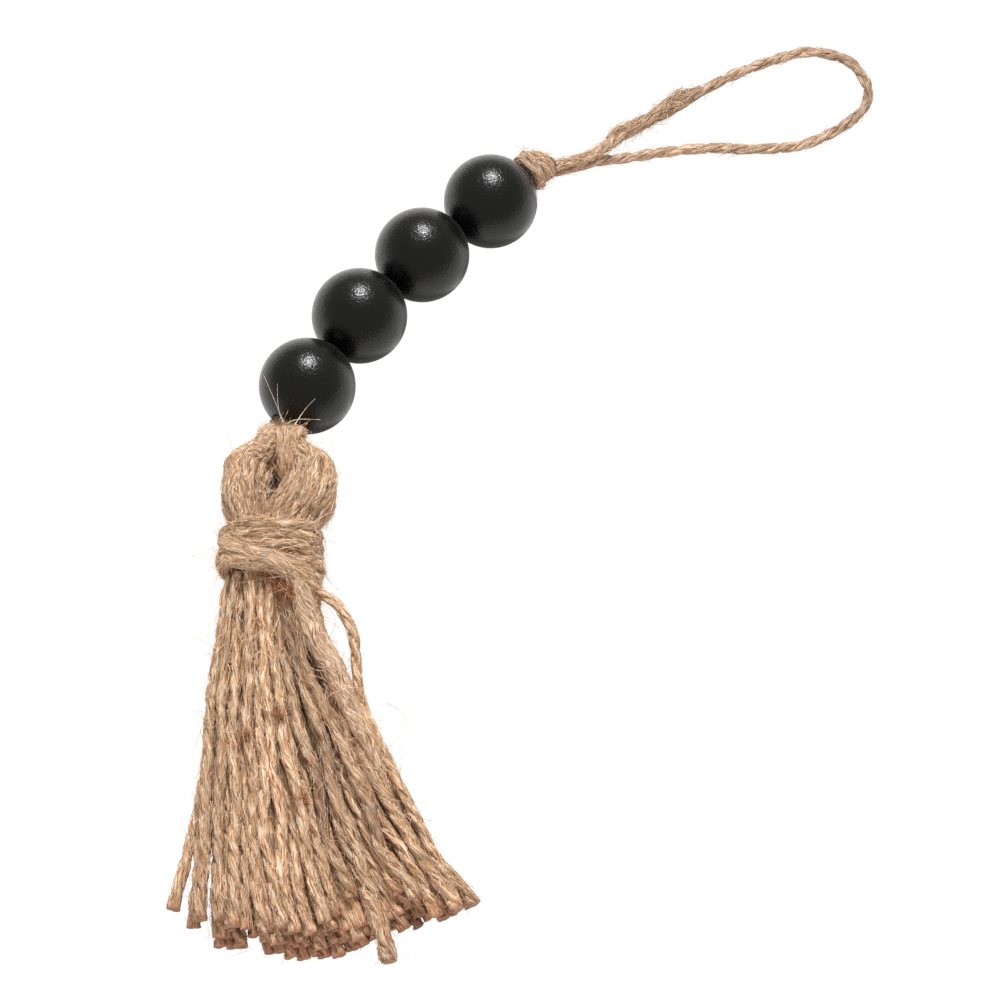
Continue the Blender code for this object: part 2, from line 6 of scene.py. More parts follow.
import bpy
import numpy as np
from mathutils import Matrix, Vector


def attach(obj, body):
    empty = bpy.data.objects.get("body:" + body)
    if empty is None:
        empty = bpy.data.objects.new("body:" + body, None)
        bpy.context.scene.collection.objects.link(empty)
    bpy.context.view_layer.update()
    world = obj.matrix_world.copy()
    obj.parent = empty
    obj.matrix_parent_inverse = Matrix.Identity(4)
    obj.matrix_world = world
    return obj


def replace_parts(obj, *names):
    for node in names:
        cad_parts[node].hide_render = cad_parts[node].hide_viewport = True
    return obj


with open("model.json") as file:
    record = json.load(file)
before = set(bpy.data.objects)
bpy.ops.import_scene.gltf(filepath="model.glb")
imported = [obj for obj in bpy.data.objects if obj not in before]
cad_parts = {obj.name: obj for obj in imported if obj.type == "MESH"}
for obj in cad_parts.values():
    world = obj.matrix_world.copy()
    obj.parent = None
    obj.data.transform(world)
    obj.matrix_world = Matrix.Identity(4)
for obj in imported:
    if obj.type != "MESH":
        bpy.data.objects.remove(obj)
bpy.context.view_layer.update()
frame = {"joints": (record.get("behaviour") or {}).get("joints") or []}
MM = 0.001

# ----------------------------------------
# The camera looks down on the tassel as it lies on the table, from the side of its cut ends.

VIEW_ELEVATION = math.radians(64)
VIEW_DISTANCE = 573 * MM
VIEW_TARGET = Vector((25.5, 10.25, 0)) * MM


def add_object(name, data):
    """A new object in the scene."""
    made = bpy.data.objects.new(name, data)
    bpy.context.scene.collection.objects.link(made)
    return made


def aimed(name, data, sight, distance):
    """A new camera or lamp at this distance from the middle of the view, looking along its sight at it."""
    made = add_object(name, data)
    made.location = VIEW_TARGET - sight * distance
    made.rotation_euler = sight.to_track_quat("-Z", "Y").to_euler()
    return made


view_sight = Vector((0, math.cos(VIEW_ELEVATION), -math.sin(VIEW_ELEVATION)))
camera = aimed("camera", bpy.data.cameras.new("camera"), view_sight, VIEW_DISTANCE)
camera.data.lens = 100
camera.data.sensor_width = 36
camera.data.clip_start = 10 * MM
bpy.context.scene.camera = camera

# ----------------------------------------
# The hanging loop is one undyed jute twine of two plies. It leaves the knot, lies round on the table and
# comes back to a blunt end, which is twisted with the knot's other leg, the tail, as a short hairy splice.

TWINE_RADIUS = 1.1 * MM
TWINE_PITCH = 9.0 * MM
CLEARANCE = 0.3 * MM
UPPER_LEG = (
    (37.3, 85.0, 10.5), (39.5, 86.0, 9.9), (42.1, 87.3, 9.1), (45.0, 89.1, 8.2), (47.5, 91.3, 7.2),
    (49.6, 93.6, 6.2),
)
SPLICE_LEG = (
    (52.2, 96.3, 5.1), (56.2, 99.9, 4.0), (60.4, 103.3, 3.0), (64.4, 106.3, 2.0), (68.0, 109.0, 1.35),
)
LOOP_ROUTE = (
    (37.4, 85.3, 7.9), (39.5, 86.1, 7.2), (42.2, 87.4, 6.4), (45.0, 88.9, 5.5), (47.5, 90.0, 4.7),
    (53.9, 92.1, 2.8), (58.3, 93.5, 1.9), (64.5, 94.9, 1.25), (72.0, 95.6, 1.15), (79.7, 95.3, 1.15),
    (86.7, 95.6, 1.15), (92.2, 96.5, 1.15), (98.4, 99.5, 1.15), (103.1, 103.0, 1.15), (106.2, 106.6, 1.15),
    (107.1, 110.8, 1.15), (105.8, 115.1, 1.15), (103.1, 118.6, 1.15), (98.5, 120.5, 1.15),
    (93.4, 121.0, 1.15), (88.2, 119.5, 1.15), (80.5, 116.4, 1.15), (74.5, 113.2, 1.15), (71.0, 111.0, 1.2),
)
SPLICE_STEP = 2.0 * MM
SPLICE_GAP = 2 * TWINE_RADIUS - CLEARANCE
LOOP_YARN_RADIUS = 1.2 * MM
LOOP_END_TAPER = 7 * MM
SHADED_BEND_X = (92 * MM, 104 * MM)
SHADED_BEND = 0.24
SHADED_SPLICE_X = ((48 * MM, 54 * MM), (74 * MM, 69 * MM))  # where its shade sets in, and where it ends
SHADED_SPLICE_Y = 96 * MM
SHADED_SPLICE = 0.28
SLEEVE_RADIUS = 1.6 * MM
SLEEVE_OVERHANG = 3.5 * MM
SLEEVE_PROFILE = ((0, 0.2), (0.1, 0.9), (0.3, 1.0), (0.5, 0.9), (0.7, 0.7), (0.85, 0.6), (1, 0.3))
SLEEVE_RINGS = 60
PLY_AROUND = 0.74  # a ply's half-width round the twine, as a share of the twine's radius
PLY_CAP = 0.1 * MM
PLY_CAP_SIZE = 0.75
PLY_LUMPS = 0.08
LUMP_LENGTH = 3.5 * MM
PITCH_RANGE = (0.9, 1.25)
TURN_SWING = 0.5
TURN_SWING_LENGTH = 2.5 * TWINE_PITCH
RINGS_PER_PITCH = 14
END_FLARE_LENGTH = 2.5 * MM
CUT_END_DARKENING_LENGTH = 0.6 * MM
UV_EDGE = 0.02
LOOP_COLOURS = ((0.53, 0.325, 0.21), (0.83, 0.625, 0.465), (0.23, 0.10, 0.045))  # mid, light and deep
# The red-brown that stains and painted shade turn the jute towards.
STAIN_AND_SHADE_COLOUR = (0.54, 0.265, 0.155)
FIBRE_SLANT = 0.8
FIBRE_RELIEF = 0.2 * MM
FIBRE_WAVES_PER_MM = 1 / 3
PLY_GIRTH = 4.2  # round a ply, as a multiple of the twine's radius


def unit(vectors):
    """The same vectors at length 1."""
    return vectors / np.maximum(np.linalg.norm(vectors, axis=-1, keepdims=True), 1e-12)


def smooth_step(value, start, end):
    """0 before start, 1 after end, and a smooth rise between them."""
    share = np.clip((np.asarray(value, float) - start) / (end - start), 0, 1)
    return share * share * (3 - 2 * share)


def smooth_route(points, step=None, count=None):
    """Evenly spaced points along a Catmull-Rom curve through a route's own points, by step or by count."""
    points = np.asarray(points, float)
    guides = np.concatenate([[2 * points[0] - points[1]], points, [2 * points[-1] - points[-2]]])
    t = np.linspace(0, 1, 24, endpoint=False)[:, None]
    spans = [
        0.5 * (2 * b + (c - a) * t + (2 * a - 5 * b + 4 * c - d) * t**2 + (3 * b - a - 3 * c + d) * t**3)
        for a, b, c, d in zip(guides, guides[1:], guides[2:], guides[3:])
    ]
    dense = np.concatenate([*spans, points[-1:]])
    along = distance_along(dense)
    even = np.linspace(0, along[-1], count or max(2, round(along[-1] / step)) + 1)
    return np.stack([np.interp(even, along, column) for column in dense.T], axis=1)


def distance_along(paths):
    """The distance from each path's start to each of its points."""
    steps = np.linalg.norm(np.diff(paths, axis=-2), axis=-1)
    return np.concatenate([np.zeros_like(steps[..., :1]), np.cumsum(steps, axis=-1)], axis=-1)


def square_frames(paths, reference=(0, 0, 1)):
    """Unit side and upward vectors at each point of each path. Side is square to the path and the
    reference, and up is square to both. Works for any path that never runs along the reference."""
    ahead = unit(np.gradient(paths, axis=-2))
    side = unit(np.cross(ahead, reference))
    return side, np.cross(side, ahead)


def once_round(count):
    """Evenly spaced angles once round."""
    return np.linspace(0, 2 * math.pi, count, endpoint=False)


def turned(turn, side, up):
    """The ways at these angles from side towards up."""
    return np.cos(turn)[..., None] * side + np.sin(turn)[..., None] * up


def wander(rng, count, along, length):
    """Smooth random values near -1 to 1 along each of these paths: three sines with random phases and
    wavelengths of about this length, added up."""
    total = 0
    for times in (0.6, 1.0, 1.7):
        phase = rng.uniform(0, 2 * math.pi, (*np.atleast_1d(count), 1))
        total = total + np.sin(2 * math.pi * along * times / length + phase)
    return total / 2


def with_ends(values):
    """Each path's values, with the first and the last one given twice."""
    return np.concatenate([values[:, :1], values, values[:, -1:]], axis=1)


def plied(
    paths, radius, rng, pitch=TWINE_PITCH, plies=2, sides=10, reference=(0, 0, 1), open_end=0.0, depth=0.42
):
    """Rings of the plies of many twines. Each ply's centre circles the twine's path once per pitch, at
    depth as a share of the radius, and its section is an ellipse that points away from the path. Each twine
    draws its own pitch, a ply has soft lumps, its end rings are small and just past the ends, and open_end
    spreads the plies over the last few millimetres."""
    radius, depth = (np.broadcast_to(value, paths.shape[:2]) for value in (radius, depth))
    past = unit(np.gradient(paths, axis=-2)) * PLY_CAP
    kept = (*square_frames(paths, reference), distance_along(paths), radius, depth)
    side, up, along, radius, depth = (with_ends(values) for values in kept)
    paths = with_ends(paths)
    paths[:, 0] -= past[:, 0]
    paths[:, -1] += past[:, -1]
    spread = 1 + open_end * np.exp((along - along[:, -1:]) / END_FLARE_LENGTH)
    pitch = pitch * rng.uniform(*PITCH_RANGE, (len(paths), 1))
    turn = rng.uniform(0, 2 * math.pi, (len(paths), 1)) + 2 * math.pi * along / pitch
    turn = turn + TURN_SWING * wander(rng, len(paths), along, TURN_SWING_LENGTH)
    turn = turn[:, None] + np.arange(plies)[None, :, None] * 2 * math.pi / plies
    lumps = 1 + PLY_LUMPS * wander(rng, (len(paths), plies), along[:, None], LUMP_LENGTH)
    lumps[..., [0, -1]] *= PLY_CAP_SIZE
    outward, around = (turned(angle, side[:, None], up[:, None]) for angle in (turn, turn + math.pi / 2))
    centre = paths[:, None] + (depth * radius * spread)[:, None, :, None] * outward
    angle = np.linspace(-math.pi, math.pi, sides, endpoint=False)
    size = (lumps * (radius * (1 + spread) / 2)[:, None])[..., None, None]
    rings = centre[..., None, :] + size * (
        (1 - depth)[:, None, :, None, None] * np.cos(angle)[:, None] * outward[..., None, :]
        + PLY_AROUND * np.sin(angle)[:, None] * around[..., None, :]
    )
    return rings.reshape(-1, *rings.shape[2:])


def tubes_mesh(name, rings, tint, stain=0.0):
    """One mesh of many closed tubes. rings holds tubes by rings by points by 3. Tint and the red-brown share
    that stands for stains and painted shade, one value for all, for each tube, ring or point, are kept as
    point attributes. The UV map lays the tubes side by side: U runs along, and V round each one."""
    tubes, count, sides = rings.shape[:3]
    index = np.arange(tubes * count * sides).reshape(tubes, count, sides)
    beside = np.roll(index, -1, axis=2)
    quads = np.stack([index[:, :-1], index[:, 1:], beside[:, 1:], beside[:, :-1]], axis=-1).reshape(-1, 4)
    ends = np.concatenate([index[:, 0], index[:, -1, ::-1]])
    mesh = bpy.data.meshes.new(name)
    mesh.from_pydata(rings.reshape(-1, 3), [], quads.tolist() + ends.tolist())
    mesh.shade_smooth()
    u = UV_EDGE + (1 - 2 * UV_EDGE) * np.linspace(0, 1, count)[None, :, None]
    v = 2 * UV_EDGE + (1 - 4 * UV_EDGE) * np.linspace(0, 1, sides + 1)
    v = ((np.arange(tubes)[:, None] + v) / tubes)[:, None]
    borders = np.stack(np.broadcast_arrays(u[:, :-1], u[:, 1:], v[..., :-1], v[..., 1:]), axis=-1)
    sheet = borders[..., [0, 2, 1, 2, 1, 3, 0, 3]]
    turn = once_round(sides)
    cap = np.arange(2 * tubes)[:, None]
    edge = np.where(cap < tubes, UV_EDGE / 2, 1 - UV_EDGE / 2)
    middle = (cap % tubes + 0.5) / tubes
    caps = np.stack([edge + 0.4 * UV_EDGE * np.cos(turn), middle + 0.4 / tubes * np.sin(turn)], axis=-1)
    layer = mesh.uv_layers.new(name="OFBake")
    layer.data.foreach_set("uv", np.concatenate([sheet.ravel(), caps.ravel()]).astype(np.float32))
    for title, value in (("tint", tint), ("stain", stain)):
        value = np.asarray(value, float)
        value = np.broadcast_to(value.reshape(*value.shape, *[1] * (3 - value.ndim)), index.shape)
        spots = mesh.attributes.new(title, "FLOAT", "POINT")
        spots.data.foreach_set("value", value.ravel().astype(np.float32))
    return mesh


def place(name, mesh, material, slot, body="root"):
    """A piece of this mesh and material in the scene, riding on a body."""
    mesh.materials.append(material)
    piece = add_object(name, mesh)
    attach(piece, body)
    return piece


def feed(tree, node, links):
    """Sets these inputs of a node to their values, or links them to the sockets given."""
    for key, value in links:
        if isinstance(value, bpy.types.NodeSocket):
            tree.links.new(value, node.inputs[key])
        else:
            node.inputs[key].default_value = value


def shader_node(tree, kind, links=(), **settings):
    """A node of this kind. Settings go to its properties, and links to its inputs."""
    node = tree.nodes.new("ShaderNode" + kind)
    for name, value in settings.items():
        setattr(node, name, value)
    feed(tree, node, links)
    return node


def maths(tree, operation, *values):
    """The result of a Math node on these values or sockets."""
    return shader_node(tree, "Math", enumerate(values), operation=operation).outputs[0]


def remapped(tree, value, to_low, to_high, low=0.0, high=1.0):
    """A value stretched from low..high to to_low..to_high."""
    ends = [("From Min", low), ("From Max", high), ("To Min", to_low), ("To Max", to_high)]
    return shader_node(tree, "MapRange", [("Value", value), *ends]).outputs[0]


def blended(tree, factor, first, second):
    """The first colour, turned to the second one by the factor."""
    return shader_node(tree, "Mix", [(0, factor), (6, first), (7, second)], data_type="RGBA").outputs[2]


def noise(tree, where, scale, detail):
    """A smooth noise at these coordinates."""
    links = [("Vector", where), ("Scale", scale), ("Detail", detail)]
    return shader_node(tree, "TexNoise", links).outputs[0]


def new_material(name):
    """A new material, its node tree and its shader."""
    made = bpy.data.materials.new(name)
    made.use_nodes = True
    return made, made.node_tree, made.node_tree.nodes["Principled BSDF"]


def jute_fibre_group():
    """Jute fibre along a yarn. Its noises are stretched along U: long patches, fibre bundles and single
    fibres. The slant turns them against the twist, so that the fibres lie along the twine, and the swing
    lets them wave. The colour goes from mid to light with the bundles and to deep in the gaps between the
    fibres, a painted shade where the relief is low. Each yarn's tint scales it, and its red-brown share turns
    it towards the Stain colour, for stains and for painted shade."""
    group = bpy.data.node_groups.new("jute_fibre", "ShaderNodeTree")
    for way, kind, names in (
        ("INPUT", "Float", "Length Girth Slant Swing"), ("INPUT", "Color", "Mid Light Deep Stain"),
        ("OUTPUT", "Color", "Colour"), ("OUTPUT", "Float", "Roughness Height"),
    ):
        for name in names.split():
            group.interface.new_socket(name=name, in_out=way, socket_type="NodeSocket" + kind)
    given = group.nodes.new("NodeGroupInput").outputs
    uv = shader_node(group, "UVMap", uv_map="OFBake").outputs["UV"]
    split = shader_node(group, "SeparateXYZ", [("Vector", uv)]).outputs
    u = maths(group, "MULTIPLY", split["X"], given["Length"])
    v = maths(group, "MULTIPLY_ADD", u, given["Slant"], maths(group, "MULTIPLY", split["Y"], given["Girth"]))

    def flat(x, y):
        """These two coordinates as one."""
        return shader_node(group, "CombineXYZ", [("X", x), ("Y", y)]).outputs[0]

    waves = noise(group, flat(u, v), FIBRE_WAVES_PER_MM, 0.0)
    v = maths(group, "MULTIPLY_ADD", waves, given["Swing"], v)

    def streaks(long, wide, low, high):
        """A noise whose spots are this long and this wide in millimetres, stretched from low..high to
        0..1."""
        where = flat(maths(group, "MULTIPLY", u, 1 / long), maths(group, "MULTIPLY", v, 1 / wide))
        return remapped(group, noise(group, where, 1.0, 1.5), 0.0, 1.0, low, high)

    patches = streaks(14.0, 1.6, 0.3, 0.7)
    bundles = streaks(4.0, 0.42, 0.38, 0.62)
    fibres = streaks(2.6, 0.20, 0.34, 0.62)
    gaps = streaks(3.2, 0.26, 0.45, 0.32)
    # Each point's red-brown share, from stains and from painted shade, and its tint.
    stain, tint = (
        shader_node(group, "Attribute", attribute_name=name).outputs["Fac"] for name in ("stain", "tint")
    )
    # Painted shade: the deep colour in the gaps between the fibres.
    colour = blended(group, gaps, blended(group, bundles, given["Mid"], given["Light"]), given["Deep"])
    colour = blended(group, stain, colour, given["Stain"])
    shade = maths(group, "MULTIPLY", remapped(group, patches, 0.78, 1.14), remapped(group, fibres, 0.72, 1.2))
    scale = maths(group, "MULTIPLY", shade, tint)
    scaled = shader_node(group, "VectorMath", [(0, colour), ("Scale", scale)], operation="SCALE").outputs[0]
    height = maths(group, "ADD", bundles, maths(group, "SUBTRACT", fibres, gaps))
    rough = remapped(group, fibres, 0.75, 0.42)
    feed(group, group.nodes.new("NodeGroupOutput"), enumerate((scaled, rough, height)))
    return group


def jute_material(name, length, girth, colours, bump=0.8, slant=0.0, swing=1.5):
    """Matt hairy jute. Length and girth are the UV map's full length and height in metres of yarn."""
    made, tree, shader = new_material(name)
    values = [length / MM, girth / MM, slant, swing, *((*colour, 1) for colour in (*colours, STAIN_AND_SHADE_COLOUR))]
    fibre = shader_node(tree, "Group", enumerate(values), node_tree=jute_fibres).outputs
    links = [("Height", fibre["Height"]), ("Strength", bump), ("Distance", FIBRE_RELIEF)]
    feed(tree, shader, [
        ("Base Color", fibre["Colour"]), ("Roughness", fibre["Roughness"]),
        ("Normal", shader_node(tree, "Bump", links).outputs["Normal"]), ("Specular IOR Level", 0.2),
        ("Sheen Weight", 0.03), ("Sheen Roughness", 0.5), ("Sheen Tint", (1.0, 0.9, 0.75, 1)),
    ])
    return made


def jute_piece(name, rings, length, girth, colours, slot, tint=1.0, stain=0.0, **finish):
    """A piece of jute tubes through these rings, with its own material."""
    name = "jute_" + name
    mesh = tubes_mesh(name, rings, tint, stain)
    return place(name, mesh, jute_material(name, length, girth, colours, **finish), "jute_" + slot)


def yarn_piece(
    name, paths, radius, seed, colours, slot, tints=(0.86, 1.12), cut_end_darkening=0.0, stain=0.0, shade=1.0,
    grain=1.0, underside_painted_shade=0.3, swing=1.5, **settings
):
    """A piece of two-ply twines along these paths. Each twine has its own tint, which shade scales along
    it. One setting darkens the last millimetre up to the cut, another paints shade on the sides and the
    underside of each ply, and grain shortens the streaks."""
    rng = np.random.default_rng(seed)
    rings = plied(paths, radius, rng, **settings)
    plies = len(rings) // len(paths)
    stain, shade = (with_ends(np.broadcast_to(value, paths.shape[:2])) for value in (stain, shade))
    tint = np.repeat(rng.uniform(*tints, len(paths))[:, None] * shade, plies, axis=0)
    tint = tint * rng.uniform(0.94, 1.06, (len(rings), 1))
    along = distance_along(paths)
    # Each twine darkens towards the red-brown over the last millimetre up to its cut.
    from_end = with_ends(along[:, -1:] - along)
    stain = np.clip(stain + cut_end_darkening * np.exp(-((from_end / CUT_END_DARKENING_LENGTH) ** 2)), 0, 1)
    # Painted shade: the sides and undersides of the plies, which their neighbours shade, turn towards the
    # red-brown.
    outward = unit(rings - rings.mean(2, keepdims=True))
    beneath = 1 - smooth_step(outward[..., 2], -0.2, 0.7)
    stain = np.clip(np.repeat(stain, plies, axis=0)[..., None] + underside_painted_shade * beneath, 0, 1)
    girth = PLY_GIRTH * float(np.mean(radius))
    slant = FIBRE_SLANT * girth / settings.get("pitch", TWINE_PITCH)
    length = grain * float(along[:, -1].max())
    return jute_piece(
        name, rings, length, len(rings) * girth, colours, slot, tint, stain, slant=slant, swing=swing
    )


def spotted(paths, spots):
    """Red-brown share and darkening along these paths from soft round spots, each a middle and a radius in
    mm, how much it turns the twines red-brown and how much it darkens them."""
    stain, shade = 0.0, 1.0
    for *middle, radius, amount, dark in spots:
        near = np.exp(-((np.linalg.norm(paths - np.array(middle) * MM, axis=-1) / (radius * MM)) ** 2))
        stain, shade = stain + amount * near, shade * (1 - dark * near)
    return stain, shade


def spliced(leg, first):
    """The part of a leg where two twines lie round each other by half a turn. The first twine goes from the
    leg's own line out to the gap beside it, passing over the other one, which comes from that side to
    it."""
    ahead = unit(np.gradient(leg, axis=0))
    sides = [unit(np.cross(ahead[0], (0, 0, 1)))]
    for direction in ahead[1:]:
        sides.append(unit(sides[-1] - direction * (sides[-1] @ direction)))
    side = np.array(sides)
    share = np.linspace(0, 1, len(leg))
    out = turned(math.pi * (1 - share), -side, np.cross(side, ahead))
    return leg + out * SPLICE_GAP * (share if first else share - 1)[:, None]


jute_fibres = jute_fibre_group()
splice = smooth_route(np.array(SPLICE_LEG) * MM, step=SPLICE_STEP)
splice_twines = spliced(splice, False), spliced(splice, True)
cord_guides = {
    "hanging_loop": [*(np.array(LOOP_ROUTE) * MM), *splice_twines[0][::-1]],
    "loop_tail": [*(np.array(UPPER_LEG) * MM), *splice_twines[1]],
}
cord_paths = {}
for cord_name, guides in cord_guides.items():
    path = smooth_route(guides, step=TWINE_PITCH / RINGS_PER_PITCH)
    cord_paths[cord_name] = path
    x, y = path[:, 0], path[:, 1]
    in_splice = (y > SHADED_SPLICE_Y) * math.prod(smooth_step(x, *ends) for ends in SHADED_SPLICE_X)
    twine_shade = 1 - SHADED_BEND * smooth_step(x, *SHADED_BEND_X) - SHADED_SPLICE * in_splice
    radius = LOOP_YARN_RADIUS * (1 - 0.5 * smooth_step(distance_along(path[::-1])[::-1], LOOP_END_TAPER, 0))
    twine = yarn_piece(
        cord_name, path[None], radius, 5, LOOP_COLOURS, "cord", sides=14, shade=twine_shade,
        underside_painted_shade=0.5,
    )
    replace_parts(twine, cord_name)

splice_middle = sum(splice_twines) / 2
sleeve_ends = SLEEVE_OVERHANG * unit(np.gradient(splice_middle, axis=0))[[0, -1]]
sleeve_guides = [splice_middle[0] - sleeve_ends[0], *splice_middle, splice_middle[-1] + sleeve_ends[1]]
splice_line = smooth_route(sleeve_guides, count=SLEEVE_RINGS)
splice_sleeve = SLEEVE_RADIUS * np.interp(np.linspace(0, 1, SLEEVE_RINGS), *zip(*SLEEVE_PROFILE))
yarn_piece(
    "splice_sleeve", splice_line[None], splice_sleeve, 9, LOOP_COLOURS, "cord", plies=3, depth=0.4,
    pitch=16 * MM, tints=(0.62, 0.66),
)

# ----------------------------------------
# Four turned wooden balls, bored through and painted satin black. The paint follows the wood's fine grain,
# and each ball turns freely on the cord. A small flat underneath keeps it from rolling.

BALL_RADIUS = 10.0 * MM
BALL_HALF_LENGTH = 9.66 * MM
BALL_EDGE_ANGLE = 0.02  # the arc starts this far from the flat end, in radians
BORE_RADIUS = 2.4 * MM
BORE_ROUND = 0.18 * MM
BALL_SIDES = 96
BALL_ARC_STEPS = 48
BALL_COLOUR = (0.0010, 0.0010, 0.0011, 1)
BALL_LIGHT_COLOUR = (0.0028, 0.0028, 0.0030, 1)
PAINT_RELIEF = 0.058 * MM


def ball_mesh(name, centre, axis):
    """A ball's half-section turned round its bore and cut level at the table's height. The section is
    listed once round: the sphere's arc, a rounded corner to the flat end, and the bore's wall between the
    ends."""
    start = math.acos(BALL_HALF_LENGTH / BALL_RADIUS) + BALL_EDGE_ANGLE
    arc = np.linspace(start, math.pi - start, BALL_ARC_STEPS)
    corner = np.linspace(0, math.pi / 2, 5)
    bore_x = BALL_HALF_LENGTH - BORE_ROUND + BORE_ROUND * np.cos(corner)
    bore_r = BORE_RADIUS + BORE_ROUND - BORE_ROUND * np.sin(corner)
    x = np.concatenate([BALL_RADIUS * np.cos(arc), -bore_x, bore_x[::-1]])[:, None]
    r = np.concatenate([BALL_RADIUS * np.sin(arc), bore_r, bore_r[::-1]])[:, None]
    outward = turned(once_round(BALL_SIDES)[:, None], np.array((-axis[1], axis[0], 0)), np.array((0, 0, 1)))
    points = centre + x * axis + r * outward
    points[..., 2] = np.maximum(points[..., 2], 0)
    index = np.arange(points[..., 0].size).reshape(points.shape[:2])
    right, below = np.roll(index, -1, axis=0), np.roll(index, -1, axis=1)
    quads = np.stack([index, below, np.roll(below, -1, axis=0), right], axis=-1).reshape(-1, 4)
    mesh = bpy.data.meshes.new(name)
    mesh.from_pydata(points.reshape(-1, 3), [], quads.tolist())
    mesh.shade_smooth()
    mesh.set_sharp_from_angle(angle=math.radians(40))
    return mesh


def paint_material():
    """Black satin paint over wood: a fine grain in the colour, the gloss and the relief."""
    made, tree, shader = new_material("black_paint")
    where = shader_node(tree, "TexCoord").outputs["Object"]
    grain, peel = noise(tree, where, 3000.0, 2.0), noise(tree, where, 1500.0, 1.0)
    links = [("Height", maths(tree, "ADD", grain, peel)), ("Strength", 0.9), ("Distance", PAINT_RELIEF)]
    feed(tree, shader, [
        ("Base Color", blended(tree, peel, BALL_COLOUR, BALL_LIGHT_COLOUR)),
        ("Roughness", remapped(tree, grain, 0.07, 0.46)),
        ("Normal", shader_node(tree, "Bump", links).outputs["Normal"]), ("Specular IOR Level", 0.35),
        ("Sheen Weight", 0.07), ("Sheen Roughness", 0.35),
    ])
    return made


black_paint = paint_material()
ball_places = []
for joint in frame["joints"]:
    centre, axis = np.array(joint["pos_m"], float), np.array(joint["axis"], float)
    ball_places.append((centre, axis))
    node = joint["name"].removesuffix("_spin")
    mesh = ball_mesh(node, centre, axis)
    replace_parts(place("painted_" + node, mesh, black_paint, "painted_wood", joint["child"]), node)

# ----------------------------------------
# The core cord is the same twine laid double. It comes up through the eye of the tassel's head, passes over
# the top of the fold, and runs through the balls to the knot. From the first ball on, painted shade makes it
# dark and red-brown.

KNOT_BASE_DISTANCE = 9.7 * MM
CORE_END_DISTANCE = KNOT_BASE_DISTANCE - 0.8 * CLEARANCE
CORE_START_SUNK = 0.4 * TWINE_RADIUS
CORE_YARN_RADIUS = 1.2 * MM
CORE_BULGE = 0.5 * MM
CORE_BULGE_PLACE = 0.9 * MM  # before the first ball's mouth
CORE_HALF_SPACING = 1.15 * MM
HEAD_CENTRE = np.array((-19.2, 10.8)) * MM
HEAD_MID_HEIGHT = 9.7 * MM
HEAD_RADIUS = 11.7 * MM
HEAD_HALF_THICKNESS = 8.7 * MM
EYE_HALF_WIDTH = 1.5 * MM
TIE_GROOVE_DEPTH = 2.6 * MM
GROOVE_THINNING = 1.7 * MM
TIE_START = math.radians(-8)
TIE_YARNS = 5
TIE_YARN_RADIUS = 0.8 * MM
TIE_HALF_WIDTH = 2.2 * MM
TIE_SHIFT = 2.1 * MM
TIE_SUNK = (0.25 * MM, 1.6 * MM)  # all round, and more on top of the fold
TIE_DIP = 3.0 * MM
CORD_COLOURS = ((0.64, 0.40, 0.24), (0.90, 0.65, 0.45), (0.25, 0.11, 0.045))
TIE_COLOURS = ((0.60, 0.355, 0.19), (0.90, 0.69, 0.50), (0.25, 0.10, 0.035))


def tie_ring(turn, apart, standing_off=0.0):
    """Points of the cord's loop round the top of the fold, an ellipse in a plane along the tassel. Turn 0
    is on top of the fold and a quarter turn is in front. Apart shifts the loop to the right."""
    top = HEAD_RADIUS - TIE_GROOVE_DEPTH
    clear = TWINE_RADIUS + 1.5 * CLEARANCE + standing_off
    half_width = (top - EYE_HALF_WIDTH) / 2 + clear
    half_height = HEAD_HALF_THICKNESS - GROOVE_THINNING + clear
    dip = TIE_DIP * smooth_step(turn, math.radians(95), math.radians(160)) * smooth_step(turn, 4.7, 3.6)
    return np.stack(np.broadcast_arrays(
        HEAD_CENTRE[0] + apart,
        HEAD_CENTRE[1] + (top + EYE_HALF_WIDTH) / 2 + half_width * np.cos(turn) - dip,
        HEAD_MID_HEIGHT + half_height * np.sin(turn),
    ), axis=-1)


chain = [centre for centre, _ in ball_places[::-1]]
core_start = tie_ring(np.array(0.0), 0.0) - (0, CORE_START_SUNK, 0)
core_mouth = chain[0] - BALL_HALF_LENGTH * ball_places[-1][1]
core_end = chain[-1] + CORE_END_DISTANCE * ball_places[0][1]
core_line = smooth_route([core_start, core_mouth, *chain, core_end], count=150)
core_strands = core_line + np.array((-1, 1))[:, None, None] * CORE_HALF_SPACING * square_frames(core_line)[0]
# Painted shade in the bores: the cord darkens and turns red-brown from just before the first ball on.
core_painted_shade = smooth_step(core_line[:, 1], chain[0][1] - BALL_RADIUS, chain[0][1] - 0.5 * BALL_RADIUS)
from_bulge = np.linalg.norm(core_line - chain[0], axis=-1) - BALL_HALF_LENGTH - CORE_BULGE_PLACE
bulge = CORE_BULGE * (core_line[:, 1] < chain[0][1]) * np.exp(-((from_bulge / MM) ** 2))
core_cord = yarn_piece(
    "core", core_strands, CORE_YARN_RADIUS + bulge, 6, CORD_COLOURS, "cord", tints=(0.45, 0.5),
    stain=core_painted_shade, shade=1 - 0.8 * core_painted_shade,
)
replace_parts(core_cord, "bead_cord")
tie_turn = TIE_START + np.linspace(0, 2 * math.pi, 90)
tie_front = smooth_step(tie_turn, math.radians(60), math.radians(150))
tie_spread = np.linspace(-1, 1, TIE_YARNS)[:, None] * TIE_HALF_WIDTH * (1 - 0.7 * tie_front)
tie_sunk = TIE_SUNK[0] + TIE_SUNK[1] * np.maximum(np.cos(tie_turn), 0)
tie_paths = tie_ring(tie_turn, TIE_SHIFT * (1 - 0.3 * tie_front) + tie_spread, -tie_sunk)
yarn_piece(
    "tie", tie_paths, TIE_YARN_RADIUS, 7, TIE_COLOURS, "cord", reference=(1, 0, 0), depth=0.25,
    pitch=14 * MM,
)

# ----------------------------------------
# An overhand knot in the doubled twine stops the balls. One turn lies on the last ball's end, the next ones
# cross it at a slant, and the loop's two legs leave it on the far side.

